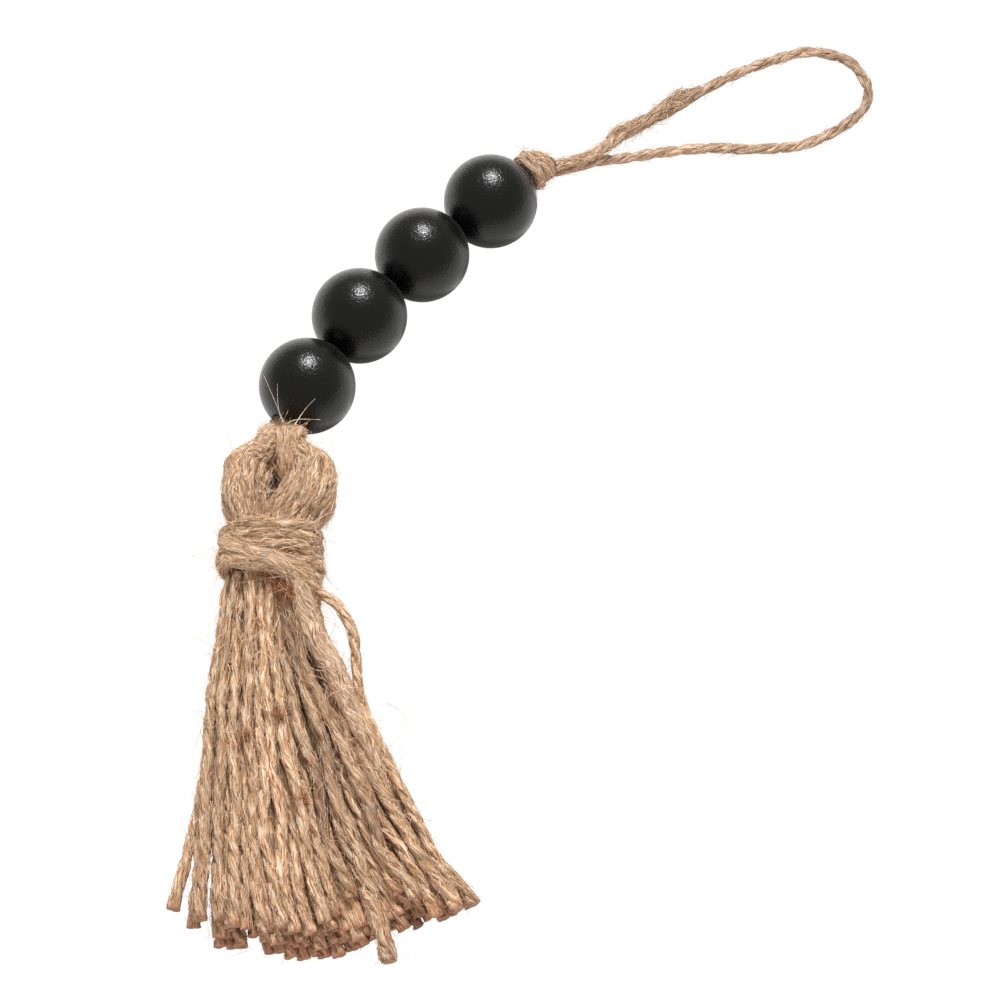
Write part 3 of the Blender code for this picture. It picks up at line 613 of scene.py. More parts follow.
KNOT_HEADING = math.radians(41)
KNOT_TURNS = (  # distance from the ball, reach, lean in degrees, and the twine's radius, the others in mm
    (1.05, 3.45, -4.0, 0.95), (2.2, 3.65, 6.0, 0.95), (2.9, 3.35, -26.0, 1.0), (4.1, 3.25, -20.0, 1.0),
    (4.9, 2.55, -30.0, 0.95),
)
KNOT_STATIONS = 60
KNOT_HEART = ((0.3, 1.6), (1.2, 2.9), (3.0, 3.1), (4.6, 2.6), (6.4, 1.5))  # distance from the ball, radius
HEART_SIZE = (7 * MM, 16 * MM)  # along it and round it

knot_axis = np.array((math.cos(KNOT_HEADING), math.sin(KNOT_HEADING), 0))
knot_base = chain[-1] + KNOT_BASE_DISTANCE * ball_places[0][1]
knot_across = np.cross((0, 0, 1), knot_axis)
distance, reach, lean, knot_radii = np.array(KNOT_TURNS).T[:, :, None, None]
leaning = turned(np.radians(lean[..., 0]), knot_across, knot_axis)
knot_rings = turned(np.linspace(0, 2 * math.pi, KNOT_STATIONS), leaning, (0, 0, 1))
knot_paths = knot_base + (knot_axis * distance + reach * knot_rings) * MM
knot = yarn_piece(
    "knot", knot_paths, knot_radii[..., 0] * MM, 8, LOOP_COLOURS, "cord", reference=knot_axis, depth=0.3,
    pitch=14 * MM, tints=(0.76, 0.98),
)
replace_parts(knot, "loop_knot")
heart_place, heart_radius = (np.array(KNOT_HEART) * MM).T[:, :, None, None]
heart_round = turned(once_round(20), knot_across, np.array((0, 0, 1)))
heart_rings = knot_base + knot_axis * heart_place + heart_radius * heart_round
jute_piece("knot_heart", heart_rings[None], *HEART_SIZE, CORD_COLOURS, "cord", tint=0.8)

# ----------------------------------------
# The head is the folded top of a hank of jute twines. They come up from the neck, arch over the eye and go
# down again, packed so closely that their hairs run together.

HEAD_SHOULDER_DROP = 3.1 * MM
TIE_GROOVE_MIDDLE_DEG = 81.0
TIE_GROOVE_ANGLE_DEG = 18.0
LEG_END_Y = -4.5 * MM
NECK_X = -20.3 * MM
NECK_HALF_WIDTH = 9.0 * MM
WAIST_Y = (-2.6 * MM, 5.0 * MM)
WAIST_INSET = 0.4 * MM
WAIST_THINNING = 1.9 * MM
HEAD_TWINES = 34
HEAD_TWINE_RADIUS = 0.98 * MM
HEAD_STATIONS = 84
HEAD_LEG_SHARE = 21 / HEAD_STATIONS
HEAD_LENGTH = 50 * MM
HEAD_DRIFT = 0.12
HEAD_DRIFT_LENGTH = 26 * MM
HEAD_DEPTH_CHANGE = 0.25
HEAD_DEPTH_LENGTH = 20 * MM
HEAD_CORE_INSET = 0.8 * MM
HEAD_CORE_GIRTH = 44 * MM
EYE_SHUT_HALF_WIDTH = 0.75 * MM
EYE_FOOT_LAP = -0.8 * MM
EYE_FOOT_Y = (2.0 * MM, 7.0 * MM)
EYE_SHIFT = (2.4 * MM, 0.1 * MM)  # to the right, at the eye's lower and upper end
EYE_SHIFT_Y = (1.0 * MM, 10.8 * MM)
# Painted shade round the eye: each spot's middle and radius in mm, how far it turns the twines red-brown and
# how much it darkens them.
EYE_PAINTED_SHADE_SPOTS = (
    (-22.8, 5.8, 16.8, 2.6, 0.55, 0.42), (-18.8, 4.8, 16.8, 2.0, 0.5, 0.3),
    (-21.2, 2.0, 17.5, 2.2, 0.5, 0.42),
)
# A dark sheet inside the eye is painted shade: it stands in for the shadow deep in the eye.
EYE_SHADE_SHEET_CENTRE = np.array((-20.0, 7.5, 7.2)) * MM
EYE_SHADE_SHEET_HALF_SIZE = np.array((2.3, 6.5, 4.5)) * MM
EYE_SHADE_SHEET_SIZE = (13 * MM, 20 * MM)  # along it and round it
HANK_COLOURS = ((0.65, 0.352, 0.16), (0.92, 0.725, 0.54), (0.29, 0.09, 0.022))
HEAD_COLOURS = ((0.58, 0.33, 0.17), (0.89, 0.69, 0.51), (0.26, 0.09, 0.024))
CORE_COLOURS = ((0.32, 0.17, 0.08), (0.44, 0.27, 0.15), (0.13, 0.065, 0.03))
EYE_SHADE_SHEET_COLOURS = ((0.075, 0.05, 0.04), (0.125, 0.09, 0.075), (0.04, 0.022, 0.016))


def fold_point(station, turn, inset):
    """A point of the head's fold. Station runs 0 to 1 up the left leg, over the eye and down the right one,
    and turn goes round the leg's elliptical section. The inset is taken off both half-widths of the
    ellipse."""
    rise = np.clip(np.minimum(station, 1 - station) / HEAD_LEG_SHARE, 0, 1)
    leg_y = LEG_END_Y + (HEAD_CENTRE[1] - LEG_END_Y) * rise
    angle = math.pi * (1 - np.clip((station - HEAD_LEG_SHARE) / (1 - 2 * HEAD_LEG_SHARE), 0, 1))
    neck = 1 - smooth_step(leg_y, *WAIST_Y)
    groove = np.exp(-(((np.degrees(angle) - TIE_GROOVE_MIDDLE_DEG) / TIE_GROOVE_ANGLE_DEG) ** 4))
    outer = HEAD_RADIUS - HEAD_SHOULDER_DROP * np.sin(2 * angle) ** 2 - TIE_GROOVE_DEPTH * groove
    outer = outer + (NECK_HALF_WIDTH - WAIST_INSET - HEAD_RADIUS) * neck
    inner = EYE_FOOT_LAP + (EYE_SHUT_HALF_WIDTH - EYE_FOOT_LAP) * smooth_step(leg_y, *EYE_FOOT_Y)
    shift = EYE_SHIFT[0] + (EYE_SHIFT[1] - EYE_SHIFT[0]) * smooth_step(leg_y, *EYE_SHIFT_Y)
    inner = inner - shift * np.cos(angle)
    thick = HEAD_HALF_THICKNESS - GROOVE_THINNING * groove - WAIST_THINNING * neck
    centre_x = HEAD_CENTRE[0] + (NECK_X - HEAD_CENTRE[0]) * neck
    outward = (outer + inner) / 2 + ((outer - inner) / 2 - inset) * np.cos(turn)
    height = HEAD_MID_HEIGHT + (thick - inset) * np.sin(turn)
    return np.stack([centre_x + outward * np.cos(angle), leg_y + outward * np.sin(angle), height], axis=-1)


head_rng = np.random.default_rng(21)
head_station = np.linspace(0, 1, HEAD_STATIONS)[None]
head_along = head_station * HEAD_LENGTH
head_turn = once_round(HEAD_TWINES)[:, None]
head_turn = head_turn + HEAD_DRIFT * wander(head_rng, HEAD_TWINES, head_along, HEAD_DRIFT_LENGTH)
head_depth = 1 + HEAD_DEPTH_CHANGE * wander(head_rng, HEAD_TWINES, head_along, HEAD_DEPTH_LENGTH)
head_paths = fold_point(head_station, head_turn, HEAD_TWINE_RADIUS * head_depth)
# Painted shade round the eye on the head's twines.
head_painted_eye_shade, head_shade = spotted(head_paths, EYE_PAINTED_SHADE_SPOTS)
head = yarn_piece(
    "head", head_paths, HEAD_TWINE_RADIUS, head_rng, HEAD_COLOURS, "hank", stain=head_painted_eye_shade,
    shade=head_shade, grain=1.7, swing=0.8, reference=(0, 0.02, 1), depth=0.24, sides=7,
)
# The core under the twines is a darker brown than they are: painted shade of the hank's inside, seen between
# the twines.
fold_core = fold_point(np.linspace(0, 1, 60)[:, None], once_round(48)[None], HEAD_CORE_INSET)
jute_piece("head_core", fold_core[None], HEAD_LENGTH, HEAD_CORE_GIRTH, CORE_COLOURS, "hank")
across, along, down = np.array(((1, 0, 0), (0, 1, 0), (0, 0, -1)))
# The sheet of painted shade inside the eye.
shade_sheet_rise = np.linspace(-0.49 * math.pi, 0.49 * math.pi, 24)[:, None]
shade_sheet_round = turned(shade_sheet_rise, turned(once_round(20), across, down), along)
shade_sheet_rings = EYE_SHADE_SHEET_CENTRE + EYE_SHADE_SHEET_HALF_SIZE * shade_sheet_round
jute_piece("eye_painted_shade", shade_sheet_rings[None], *EYE_SHADE_SHEET_SIZE, EYE_SHADE_SHEET_COLOURS, "hank")

# ----------------------------------------
# The neck is bound with some turns of one hairy twine. The first turns lie nearly level and the last one
# runs down at a slant.

NECK_MID_HEIGHT = 10.0 * MM
NECK_HALF_THICKNESS = 8.2 * MM
NECK_SQUARENESS = 2.5
BAND_TWINE_RADIUS = 1.4 * MM
BAND_OUT = 0.25 * MM
BAND_TURNS_Y = (  # each turn's place at the right, on top, at the left and underneath, in mm
    (-3.9, -4.0, -3.2, -3.0), (-5.9, -6.2, -4.8, -5.2), (-8.0, -8.5, -6.6, -7.4), (-10.0, -10.7, -8.2, -9.6),
    (-12.0, -12.6, -9.6, -11.8), (-16.3, -13.4, -9.2, -11.0),
)
LAST_TURN_OUT = 0.9 * MM
BAND_STATIONS = 90
BAND_MEAN_RADIUS = 10 * MM
BAND_WAVES = ((0.5 * MM, 22 * MM), (0.3 * MM, 20 * MM))  # sizes and lengths, along the tassel and outward
BAND_COLOURS = ((0.52, 0.295, 0.15), (0.83, 0.63, 0.46), (0.24, 0.085, 0.026))


def neck_ring(turn, out):
    """A point round the neck's rounded-square section, this far outside the bound hank. Turn 0 is to the
    right, and a quarter turn is on top."""
    across, upward = (np.sign(f(turn)) * np.abs(f(turn)) ** (2 / NECK_SQUARENESS) for f in (np.cos, np.sin))
    return NECK_X + (NECK_HALF_WIDTH + out) * across, NECK_MID_HEIGHT + (NECK_HALF_THICKNESS + out) * upward


band_rng = np.random.default_rng(31)
band_turn = np.linspace(0, 2 * math.pi, BAND_STATIONS)[None]
at_right, on_top, at_left, underneath = (np.array(BAND_TURNS_Y) * MM).T[:, :, None]
band_along = band_turn * BAND_MEAN_RADIUS
along_wave, outward_wave = (
    size * wander(band_rng, len(BAND_TURNS_Y), band_along, length) for size, length in BAND_WAVES
)
band_y = (
    (at_right + on_top + at_left + underneath) / 4 + (at_right - at_left) / 2 * np.cos(band_turn)
    + (on_top - underneath) / 2 * np.sin(band_turn)
    + (at_right + at_left - on_top - underneath) / 4 * np.cos(2 * band_turn) + along_wave
)
band_out = BAND_OUT + outward_wave
band_out[-1] += LAST_TURN_OUT * np.maximum(np.sin(band_turn[0]), 0)
band_x, band_z = neck_ring(band_turn, band_out)
band_paths = np.stack([band_x, band_y, band_z], axis=-1)
band = yarn_piece(
    "band", band_paths, BAND_TWINE_RADIUS, band_rng, BAND_COLOURS, "binding", reference=(0, 1, 0),
    pitch=18 * MM, depth=0.26, sides=9, grain=1.3,
)
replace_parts(band, "neck_wrap")

# ----------------------------------------
# The skirt is the hank's cut twines. They leave the neck as a round bundle and fan out flat on the table.
# A few lie loose at the left, and one bows out at the right.

STRAND_LAYERS = (24, 21, 17, 3)
LAYER_HEIGHTS = np.array((0.9, 3.0, 5.1, 7.2)) * MM
LAYER_LENGTHENING = np.array((0.0, -1.5, -4.0, -5.0)) * MM
# Painted shade near the tips, strongest on the bottom layer that the others cover, one share for each layer.
LAYER_TIP_PAINTED_SHADE = (0.5, 0.3, 0.1, 0.0)
LENGTH_JITTER = 1.0 * MM
ODD_STRANDS = {  # strand: its tip's shift to the right and extra length, both in mm
    0: (-5.0, -6.0), 1: (-2.9, -3.5), 2: (-1.2, 0.0), 24: (-2.9, -3.0), 54: (0.0, -6.0), 57: (0.0, 8.0),
    58: (0.0, -5.0),
}
SKIRT_ROOT_Y = -12.9 * MM
SKIRT_ROOT_HALF_WIDTH = 9.0 * MM
SKIRT_TIP_X = np.array((-33.0, 20.6)) * MM
SKIRT_LOW_POINT = np.array((-14.0, -87.4)) * MM
SKIRT_TIP_BEND = 8.5
ROOT_FAN_DEG = (-12.0, 12.0)
TIP_FAN_DEG = (-2.0, 29.0)
DROOP_POWER = 1.6
STATIONS = np.array((0.0, 0.07, 0.14, 0.22, 0.32, 0.44, 0.57, 0.71, 0.85, 1.0))
SKIRT_LENGTH = 73.0 * MM
ROOT_SPACING = 1.75 * MM
TIP_SPACING = 2.3 * MM
ROOT_FILL = (0.88, 0.86)  # of the neck's half-width and half-thickness
STRAND_FILL = 0.72
SPACING_ROUNDS = 300
SPACING_FREE_ROUNDS = 90  # the last ones, without smoothing and pulling back
SPACING_SMOOTHING = 0.15
SPACING_PULL_BACK = 0.03
SPACING_PUSH = 0.25
PLACING_JITTER = 0.05 * MM
PLACING_SEED = 11
ROOT_GROUP = 7
ARCHING_STRAND = np.array((  # share of the length, lateral share and height in mm
    (0.00, 0.76, 12.4), (0.05, 0.98, 13.6), (0.10, 1.28, 14.2), (0.19, 1.34, 13.2), (0.28, 1.20, 11.6),
    (0.37, 1.08, 10.2), (0.50, 1.02, 9.2), (0.75, 0.97, 7.6), (1.00, 0.93, 5.4),
))
STRAND_RINGS = 84
STRAND_ROOT_RADIUS = 1.05 * MM
STRAND_TIP_RADIUS = 1.3 * MM
STRAND_PITCH = 10.5 * MM
SETTLE_LENGTH = 15 * MM
SIDE_WAVE, SIDE_WAVE_LENGTH = 0.7 * MM, 34 * MM
UP_WAVE, UP_WAVE_LENGTH = 0.35 * MM, 26 * MM
CALMER_FROM_TO = (45 * MM, 70 * MM)
THICKER_FROM_TO = (5 * MM, 40 * MM)
PLY_DEPTHS = (0.14, 0.38)  # near the root and near the tip
PLY_DEPTH_FROM_TO = (22 * MM, 55 * MM)
TIP_PAINTED_SHADE_FROM_TO = (60 * MM, 71 * MM)
SKIRT_NARROWING = 0.055
SKIRT_LEAN = -0.9 * MM
SKIRT_LEAN_WIDTH = 12 * MM
TIP_CHANGES = (  # strand, its tip's move to the right and extra length, both in mm
    (2, 1.0, -0.8), (4, -0.7, -0.5), (5, 0, -4.5), (8, 0, -0.9), (15, 0, -2.0), (16, 0, -2.0), (17, 0, -2.0),
    (18, 0, -2.5), (19, 0, -1.0), (20, 0, -2.7), (22, 0, -0.7), (23, 0, -0.5), (24, 4.2, 1.5), (25, 0.9, 0),
    (28, 0, -2.6), (38, 0, -1.0), (39, 1.4, 0.8), (46, 0.9, 0.5), (47, 0, 2.0), (48, 0, 1.0), (52, 0, 2.0),
    (53, 0, 1.5), (54, 0, 4.8), (55, 0, -5.2), (57, -3.2, 2.1), (58, 0, 4.5), (59, 0.7, 4.5), (60, 0.7, 6.7),
    (61, 0.5, 3.7), (62, 0, 2.0), (63, 0, 1.5),
)
LONE_STRAND = 57
LONE_FLARE = 0.38
LONE_FLARE_FROM_TO = (56 * MM, 74 * MM)
FILL_LEFT_OUT = (0, 1, 4, 5, 23, 24, 27, 28)
FILL_STATIONS = 26
FILL_SHORTER = 2
FILL_RISE = 0.7 * MM
CREVICES = (  # half-width, shade, heights from which and up to which it opens, and its route, all in mm
    (0.8, 0.36, 4.5, 8.0, (
        (-17.2, -13.5), (-16.6, -16.5), (-15.8, -19.6), (-14.4, -23.3), (-13.0, -27.1), (-11.4, -31.7),
        (-10.0, -34.7), (-8.0, -38.5), (-6.2, -42.0), (-4.6, -45.0), (-3.2, -48.0), (-1.6, -52.0),
    )),
    (0.5, 0.35, 3.0, 5.5, (
        (-10.6, -41.0), (-9.7, -46.2), (-9.0, -52.5), (-8.3, -60.0), (-7.4, -68.3), (-6.5, -75.0),
    )),
    (0.4, 0.3, 3.0, 5.5, (
        (-2.0, -46.0), (-1.0, -51.3), (0.0, -56.6), (0.8, -60.3), (2.8, -67.7), (4.8, -76.0),
    )),
    (0.6, 0.4, 3.0, 5.5, (
        (1.6, -46.0), (3.4, -52.8), (5.2, -55.7), (6.8, -58.4), (8.4, -62.1), (11.0, -66.9), (14.0, -75.0),
    )),
)
CREVICE_SLANT = 0.92
CREVICE_REACH = 2.2 * MM
CREVICE_SHADE_REACH = 1.5 * MM
CREVICE_OPENS = 8 * MM
CREVICE_SHUTS = 9 * MM
CREVICE_MOST_CROSSING = 0.9 * MM
# Spots on the skirt: the first two are painted shadow under the band's last turn, the sixth painted shade
# along the main crevice, and the last painted shade in a recess among the tips; the other three are
# orange-brown patches of the jute's own colour.
SKIRT_SPOTS = (
    (-20.4, -15.0, 18.5, 2.0, 0.8, 0.45), (-17.6, -17.0, 17.0, 2.6, 0.9, 0.25),
    (-16.7, -43.3, 13.7, 1.1, 0.9, 0.0), (-11.9, -59.6, 11.1, 1.1, 0.7, 0.1),
    (-23.2, -47.2, 11.8, 0.9, 0.5, 0.0), (-15.0, -22.5, 14.5, 2.2, 0.3, 0.25),
    (8.6, -80.4, 4.2, 2.6, 0.6, 0.5),
)


def fan_place(share, lateral):
    """A place in the skirt's fan, seen from above, as x and y. Share runs from 0 at the root to 1 at the
    tips and lateral from -1 at the left edge to 1 at the right. Lines of equal lateral are cubic Bezier
    curves."""
    share, lateral = np.broadcast_arrays(share, lateral)
    root_x = NECK_X + SKIRT_ROOT_HALF_WIDTH * lateral
    tip_x = SKIRT_TIP_X.mean() + np.ptp(SKIRT_TIP_X) / 2 * lateral
    tip_y = SKIRT_LOW_POINT[1] + SKIRT_TIP_BEND * (tip_x - SKIRT_LOW_POINT[0]) ** 2
    root = np.stack([root_x, np.full_like(root_x, SKIRT_ROOT_Y)], axis=-1)
    tip = np.stack([tip_x, tip_y], axis=-1)
    angles = (np.radians(np.mean(fan) + np.ptp(fan) / 2 * lateral) for fan in (ROOT_FAN_DEG, TIP_FAN_DEG))
    leave, arrive = (np.stack([np.sin(a), -np.cos(a)], axis=-1) * SKIRT_LENGTH / 3 for a in angles)
    t = share[..., None]
    near, far = root + leave, tip - arrive
    return root * (1 - t) ** 3 + 3 * near * t * (1 - t) ** 2 + 3 * far * t**2 * (1 - t) + tip * t**3


def arch_at(share):
    """Lateral share and height of the arching strand at these shares of the skirt's length."""
    shares, laterals, heights = ARCHING_STRAND.T
    return np.stack([np.interp(share, shares, laterals), np.interp(share, shares, heights) * MM], axis=1)


def strand_slots():
    """Each strand's place at the tips and at the root, as lateral share and height. Roots fill an ellipse,
    and are handed out so that neighbours at the tips are neighbours at the root too."""
    layers = zip(STRAND_LAYERS, LAYER_HEIGHTS)
    tips = np.array([(2 * (i + 0.5) / count - 1, height) for count, height in layers for i in range(count)])
    order = np.arange(len(tips))
    turn = order * math.pi * (3 - math.sqrt(5))
    roots = np.sqrt((order[:, None] + 0.5) / len(tips)) * np.stack([np.cos(turn), np.sin(turn)], axis=1)
    given = np.empty_like(roots)
    by_tip, by_root = np.argsort(tips[:, 0]), np.argsort(roots[:, 0])
    for start in range(0, len(tips), ROOT_GROUP):
        here, there = by_tip[start : start + ROOT_GROUP], by_root[start : start + ROOT_GROUP]
        here = here[np.argsort(tips[here, 1], kind="stable")]
        given[here] = roots[there[np.argsort(roots[there, 1], kind="stable")]]
    return tips, given


def pushes(place, spacing):
    """How far each strand has to move to get clear of the others. Distances are measured with fourth
    powers."""
    gap = place[:, None] - place[None]
    distance = (gap**4).sum(-1) ** 0.25
    short = np.clip(spacing[None] - distance, 0, None)
    short[np.arange(len(place)), np.arange(len(place))] = 0
    return SPACING_PUSH * ((short / np.maximum(distance, 1e-9))[..., None] * gap).sum(1)


def spread_strands():
    """Lateral share and height of each strand at each station. They start on smooth lines from the root to
    the tip, and are pushed apart, at the stations and halfway between, until they clear each other."""
    tips, roots = strand_slots()
    share = STATIONS[None]
    half_width = np.linalg.norm(fan_place(share, 1.0) - fan_place(share, -1.0), axis=-1) / 2
    spacing = ROOT_SPACING + (TIP_SPACING - ROOT_SPACING) * smooth_step(share, 0.0, 0.5)
    blend = smooth_step(share, 0.0, 0.8)
    lateral = (ROOT_FILL[0] * roots[:, :1] * (1 - blend) + tips[:, :1] * blend) * half_width
    root_height = NECK_MID_HEIGHT + ROOT_FILL[1] * NECK_HALF_THICKNESS * roots[:, 1:]
    height = tips[:, 1:] + (root_height - tips[:, 1:]) * (1 - share) ** DROOP_POWER
    place = np.stack([lateral, height], axis=-1)
    place += np.random.default_rng(PLACING_SEED).uniform(-1, 1, place.shape) * PLACING_JITTER
    arch = arch_at(STATIONS)
    place = np.concatenate([place, np.stack([arch[:, 0] * half_width[0], arch[:, 1]], axis=-1)[None]])
    plan = place.copy()
    low = 0.5 * STRAND_FILL * spacing
    for step in range(SPACING_ROUNDS):
        if step < SPACING_ROUNDS - SPACING_FREE_ROUNDS:
            place[:, 1:-1] += SPACING_SMOOTHING * (place[:, :-2] + place[:, 2:] - 2 * place[:, 1:-1])
            place += SPACING_PULL_BACK * (plan - place)
        place += pushes(place, spacing)
        between = pushes((place[:, 1:] + place[:, :-1]) / 2, (spacing[:, 1:] + spacing[:, :-1]) / 2)
        place[:, 1:] += between
        place[:, :-1] += between
        place[..., 1] = np.maximum(place[..., 1], low)
        place[..., 0] = np.clip(place[..., 0], low - half_width, half_width - low)
        place[-1] = plan[-1]
    return place[:-1] / np.stack([half_width, np.ones_like(half_width)], axis=-1)


def strand_path(layer, places, right, longer, jitter):
    """The line of one cut strand, as evenly spaced points from the neck to its tip."""
    stretch = LAYER_LENGTHENING[layer] + longer * MM + LENGTH_JITTER * jitter
    reached = STATIONS * (1 + stretch / SKIRT_LENGTH)
    lateral, height = (np.interp(reached, STATIONS, column) for column in places.T)
    flat = fan_place(reached, lateral) + np.outer(STATIONS**2, (right * MM, 0))
    return smooth_route(np.column_stack([flat, height]), count=STRAND_RINGS)


placing_rng = np.random.default_rng(PLACING_SEED)
cut_strands = np.array([
    strand_path(layer, places, *ODD_STRANDS.get(strand, (0, 0)), placing_rng.uniform(-1, 1))
    for strand, (layer, places) in enumerate(zip(np.repeat(range(4), STRAND_LAYERS), spread_strands()))
])
arch_places = arch_at(ARCHING_STRAND[:, 0])
arch_points = np.column_stack([fan_place(ARCHING_STRAND[:, 0], arch_places[:, 0]), arch_places[:, 1]])
arching_strand = smooth_route(arch_points, count=STRAND_RINGS)
arch_reached = np.linspace(0, 1, STRAND_RINGS)
arch_off_spine = arching_strand[:, 0] - fan_place(arch_reached, 0.0)[:, 0]
arching_strand[:, 0] -= SKIRT_NARROWING * smooth_step(arch_reached, 0.2, 0.45) * arch_off_spine

skirt_rng = np.random.default_rng(41)
skirt_along = distance_along(cut_strands)
side, up = square_frames(cut_strands)
settle = smooth_step(skirt_along, 0, SETTLE_LENGTH)
inner = 1 - np.abs(strand_slots()[0][:, :1]) ** 3
waves = SIDE_WAVE * (0.15 + 0.85 * inner) * (1 - 0.5 * smooth_step(skirt_along, *CALMER_FROM_TO)), UP_WAVE
for wave, wave_length, way in zip(waves, (SIDE_WAVE_LENGTH, UP_WAVE_LENGTH), (side, up)):
    moved = settle * wave * wander(skirt_rng, len(cut_strands), skirt_along, wave_length)
    cut_strands = cut_strands + moved[..., None] * way
reached = skirt_along / SKIRT_LENGTH
from_spine = cut_strands[..., 0] - fan_place(np.clip(reached, 0, 1), 0.0)[..., 0]
narrowing = SKIRT_NARROWING * settle * smooth_step(reached, 1.0, 0.72)
lean = SKIRT_LEAN * smooth_step(reached, 0.5, 0.8) * smooth_step(reached, 1.0, 0.86)
cut_strands[..., 0] += lean * smooth_step(from_spine, SKIRT_LEAN_WIDTH, 0) - narrowing * from_spine
for strand, right, longer in TIP_CHANGES:
    path, share = cut_strands[strand], reached[strand][:, None]
    path += (right * MM, 0, 0) * share**2 + longer * MM * share**3 * unit(path[-1] - path[-4])
thicker = smooth_step(skirt_along, *THICKER_FROM_TO)
skirt_radius = STRAND_ROOT_RADIUS + (STRAND_TIP_RADIUS - STRAND_ROOT_RADIUS) * thicker
skirt_radius[LONE_STRAND] *= 1 + LONE_FLARE * smooth_step(skirt_along[LONE_STRAND], *LONE_FLARE_FROM_TO)
# Each crevice pushes the top strands apart and paints shade along its line, darker and turned red-brown.
skirt_shade, crevice_painted_shade = 1.0, 0.0
for half_width, dark, low_top, high_top, route in CREVICES:
    guides = np.array(route)[::-1] * MM
    x, y, height = np.moveaxis(cut_strands, -1, 0)
    beside = CREVICE_SLANT * (x - np.interp(y, guides[:, 1], guides[:, 0]))
    bottom, top = guides[0, 1], guides[-1, 1]
    open_here = smooth_step(y, top, top - CREVICE_OPENS) * smooth_step(y, bottom, bottom + CREVICE_SHUTS)
    right_of = np.where((open_here * beside).sum(1) > 0, 1, -1)[:, None]
    open_here = open_here * smooth_step(height, low_top * MM, high_top * MM)
    clear_of = np.maximum(beside * right_of, 0)
    crossing = np.clip(-beside * right_of, 0, CREVICE_MOST_CROSSING)
    push = half_width * MM * np.exp(-((clear_of / CREVICE_REACH) ** 2)) + crossing
    in_crevice = dark * open_here * np.exp(-((beside / CREVICE_SHADE_REACH) ** 2))
    skirt_shade = skirt_shade * (1 - in_crevice)
    crevice_painted_shade = crevice_painted_shade + in_crevice
    cut_strands[..., 0] += open_here * right_of * push
cut_strands[..., 2] = np.maximum(cut_strands[..., 2], skirt_radius)
skirt_stain_and_shade, spot_shade = spotted(cut_strands, SKIRT_SPOTS)
# Painted shade near the tips of the lower layers.
tip_painted_shade = smooth_step(skirt_along, *TIP_PAINTED_SHADE_FROM_TO)
skirt_stain_and_shade = skirt_stain_and_shade + crevice_painted_shade + np.repeat(LAYER_TIP_PAINTED_SHADE, STRAND_LAYERS)[:, None] * tip_painted_shade
skirt_shade = skirt_shade * spot_shade
skirt_depth = PLY_DEPTHS[0] + np.ptp(PLY_DEPTHS) * smooth_step(skirt_along, *PLY_DEPTH_FROM_TO)
lower_count = STRAND_LAYERS[0] + STRAND_LAYERS[1]
skirt_pieces = [head]
for level, part in (("lower", slice(None, lower_count)), ("upper", slice(lower_count, None))):
    skirt_pieces.append(yarn_piece(
        "skirt_" + level, cut_strands[part], skirt_radius[part], skirt_rng, HANK_COLOURS, "hank",
        tints=(0.8, 1.14), open_end=0.2, sides=8, depth=skirt_depth[part], pitch=STRAND_PITCH, cut_end_darkening=0.6,
        stain=skirt_stain_and_shade[part], shade=skirt_shade[part], underside_painted_shade=0.65, swing=0.7,
    ))
ends = cut_strands[:, -FILL_STATIONS - FILL_SHORTER : -FILL_SHORTER]
fill_between = np.array([i for i in range(lower_count - 1) if i not in FILL_LEFT_OUT])
fill_paths = (ends[fill_between] + ends[fill_between + 1]) / 2 + (0, 0, FILL_RISE)
skirt_pieces.append(yarn_piece(
    "skirt_fill", fill_paths, STRAND_TIP_RADIUS, skirt_rng, HANK_COLOURS, "hank", tints=(0.95, 1.22),
    open_end=0.14, sides=7, depth=0.36, pitch=STRAND_PITCH, cut_end_darkening=0.45, stain=0.45, underside_painted_shade=0.15,
    swing=0.7,
))
skirt_pieces.append(yarn_piece(
    "bowed_strand", arching_strand[None], TWINE_RADIUS, skirt_rng, HANK_COLOURS, "hank"
))
for piece in skirt_pieces:
    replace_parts(piece, "tassel")

# ----------------------------------------
# The binding's own end is left long. It is frayed, and lies as a soft hairy bundle down the right of the
# skirt.

WRAP_END_ROUTE = (
    (-30.0, -7.0), (-27.4, -8.6), (-24.3, -10.3), (-20.6, -11.9), (-16.6, -13.6), (-14.3, -16.2),
    (-13.2, -19.4), (-12.0, -23.2), (-9.9, -27.8), (-7.0, -32.7), (-4.9, -37.6), (-2.6, -42.5), (0.1, -47.4),
    (2.5, -53.0), (4.6, -58.5),
)
WRAP_END_RADII = np.array((0.8, 1.4, 1.8, 2.2, 2.4, 2.3, 2.1, 1.8, 1.3, 0.7)) * MM
WRAP_END_RISE = 0.2
WRAP_END_DIVE = 2.6 * MM
WRAP_END_STATIONS = 110
WRAP_END_REACH = 1.5 * MM
LIE_SMOOTHING = 14
WRAP_END_COLOURS = ((0.55, 0.335, 0.20), (0.85, 0.65, 0.48), (0.24, 0.095, 0.038))


def lie_on(route, hosts, radii):
    """Heights of the surface that these twines make under a route seen from above: the highest point of a
    twine within reach of each of its points, smoothed along the route."""
    apart = np.linalg.norm(hosts[None, ..., :2] - route[:, None, None, :2], axis=-1)
    top = hosts[..., 2] + radii
    height = np.where(apart < WRAP_END_REACH, top[None], 0).max((1, 2))
    window = np.hanning(2 * LIE_SMOOTHING + 1)
    return np.convolve(np.pad(height, LIE_SMOOTHING, mode="edge"), window / window.sum(), mode="valid")


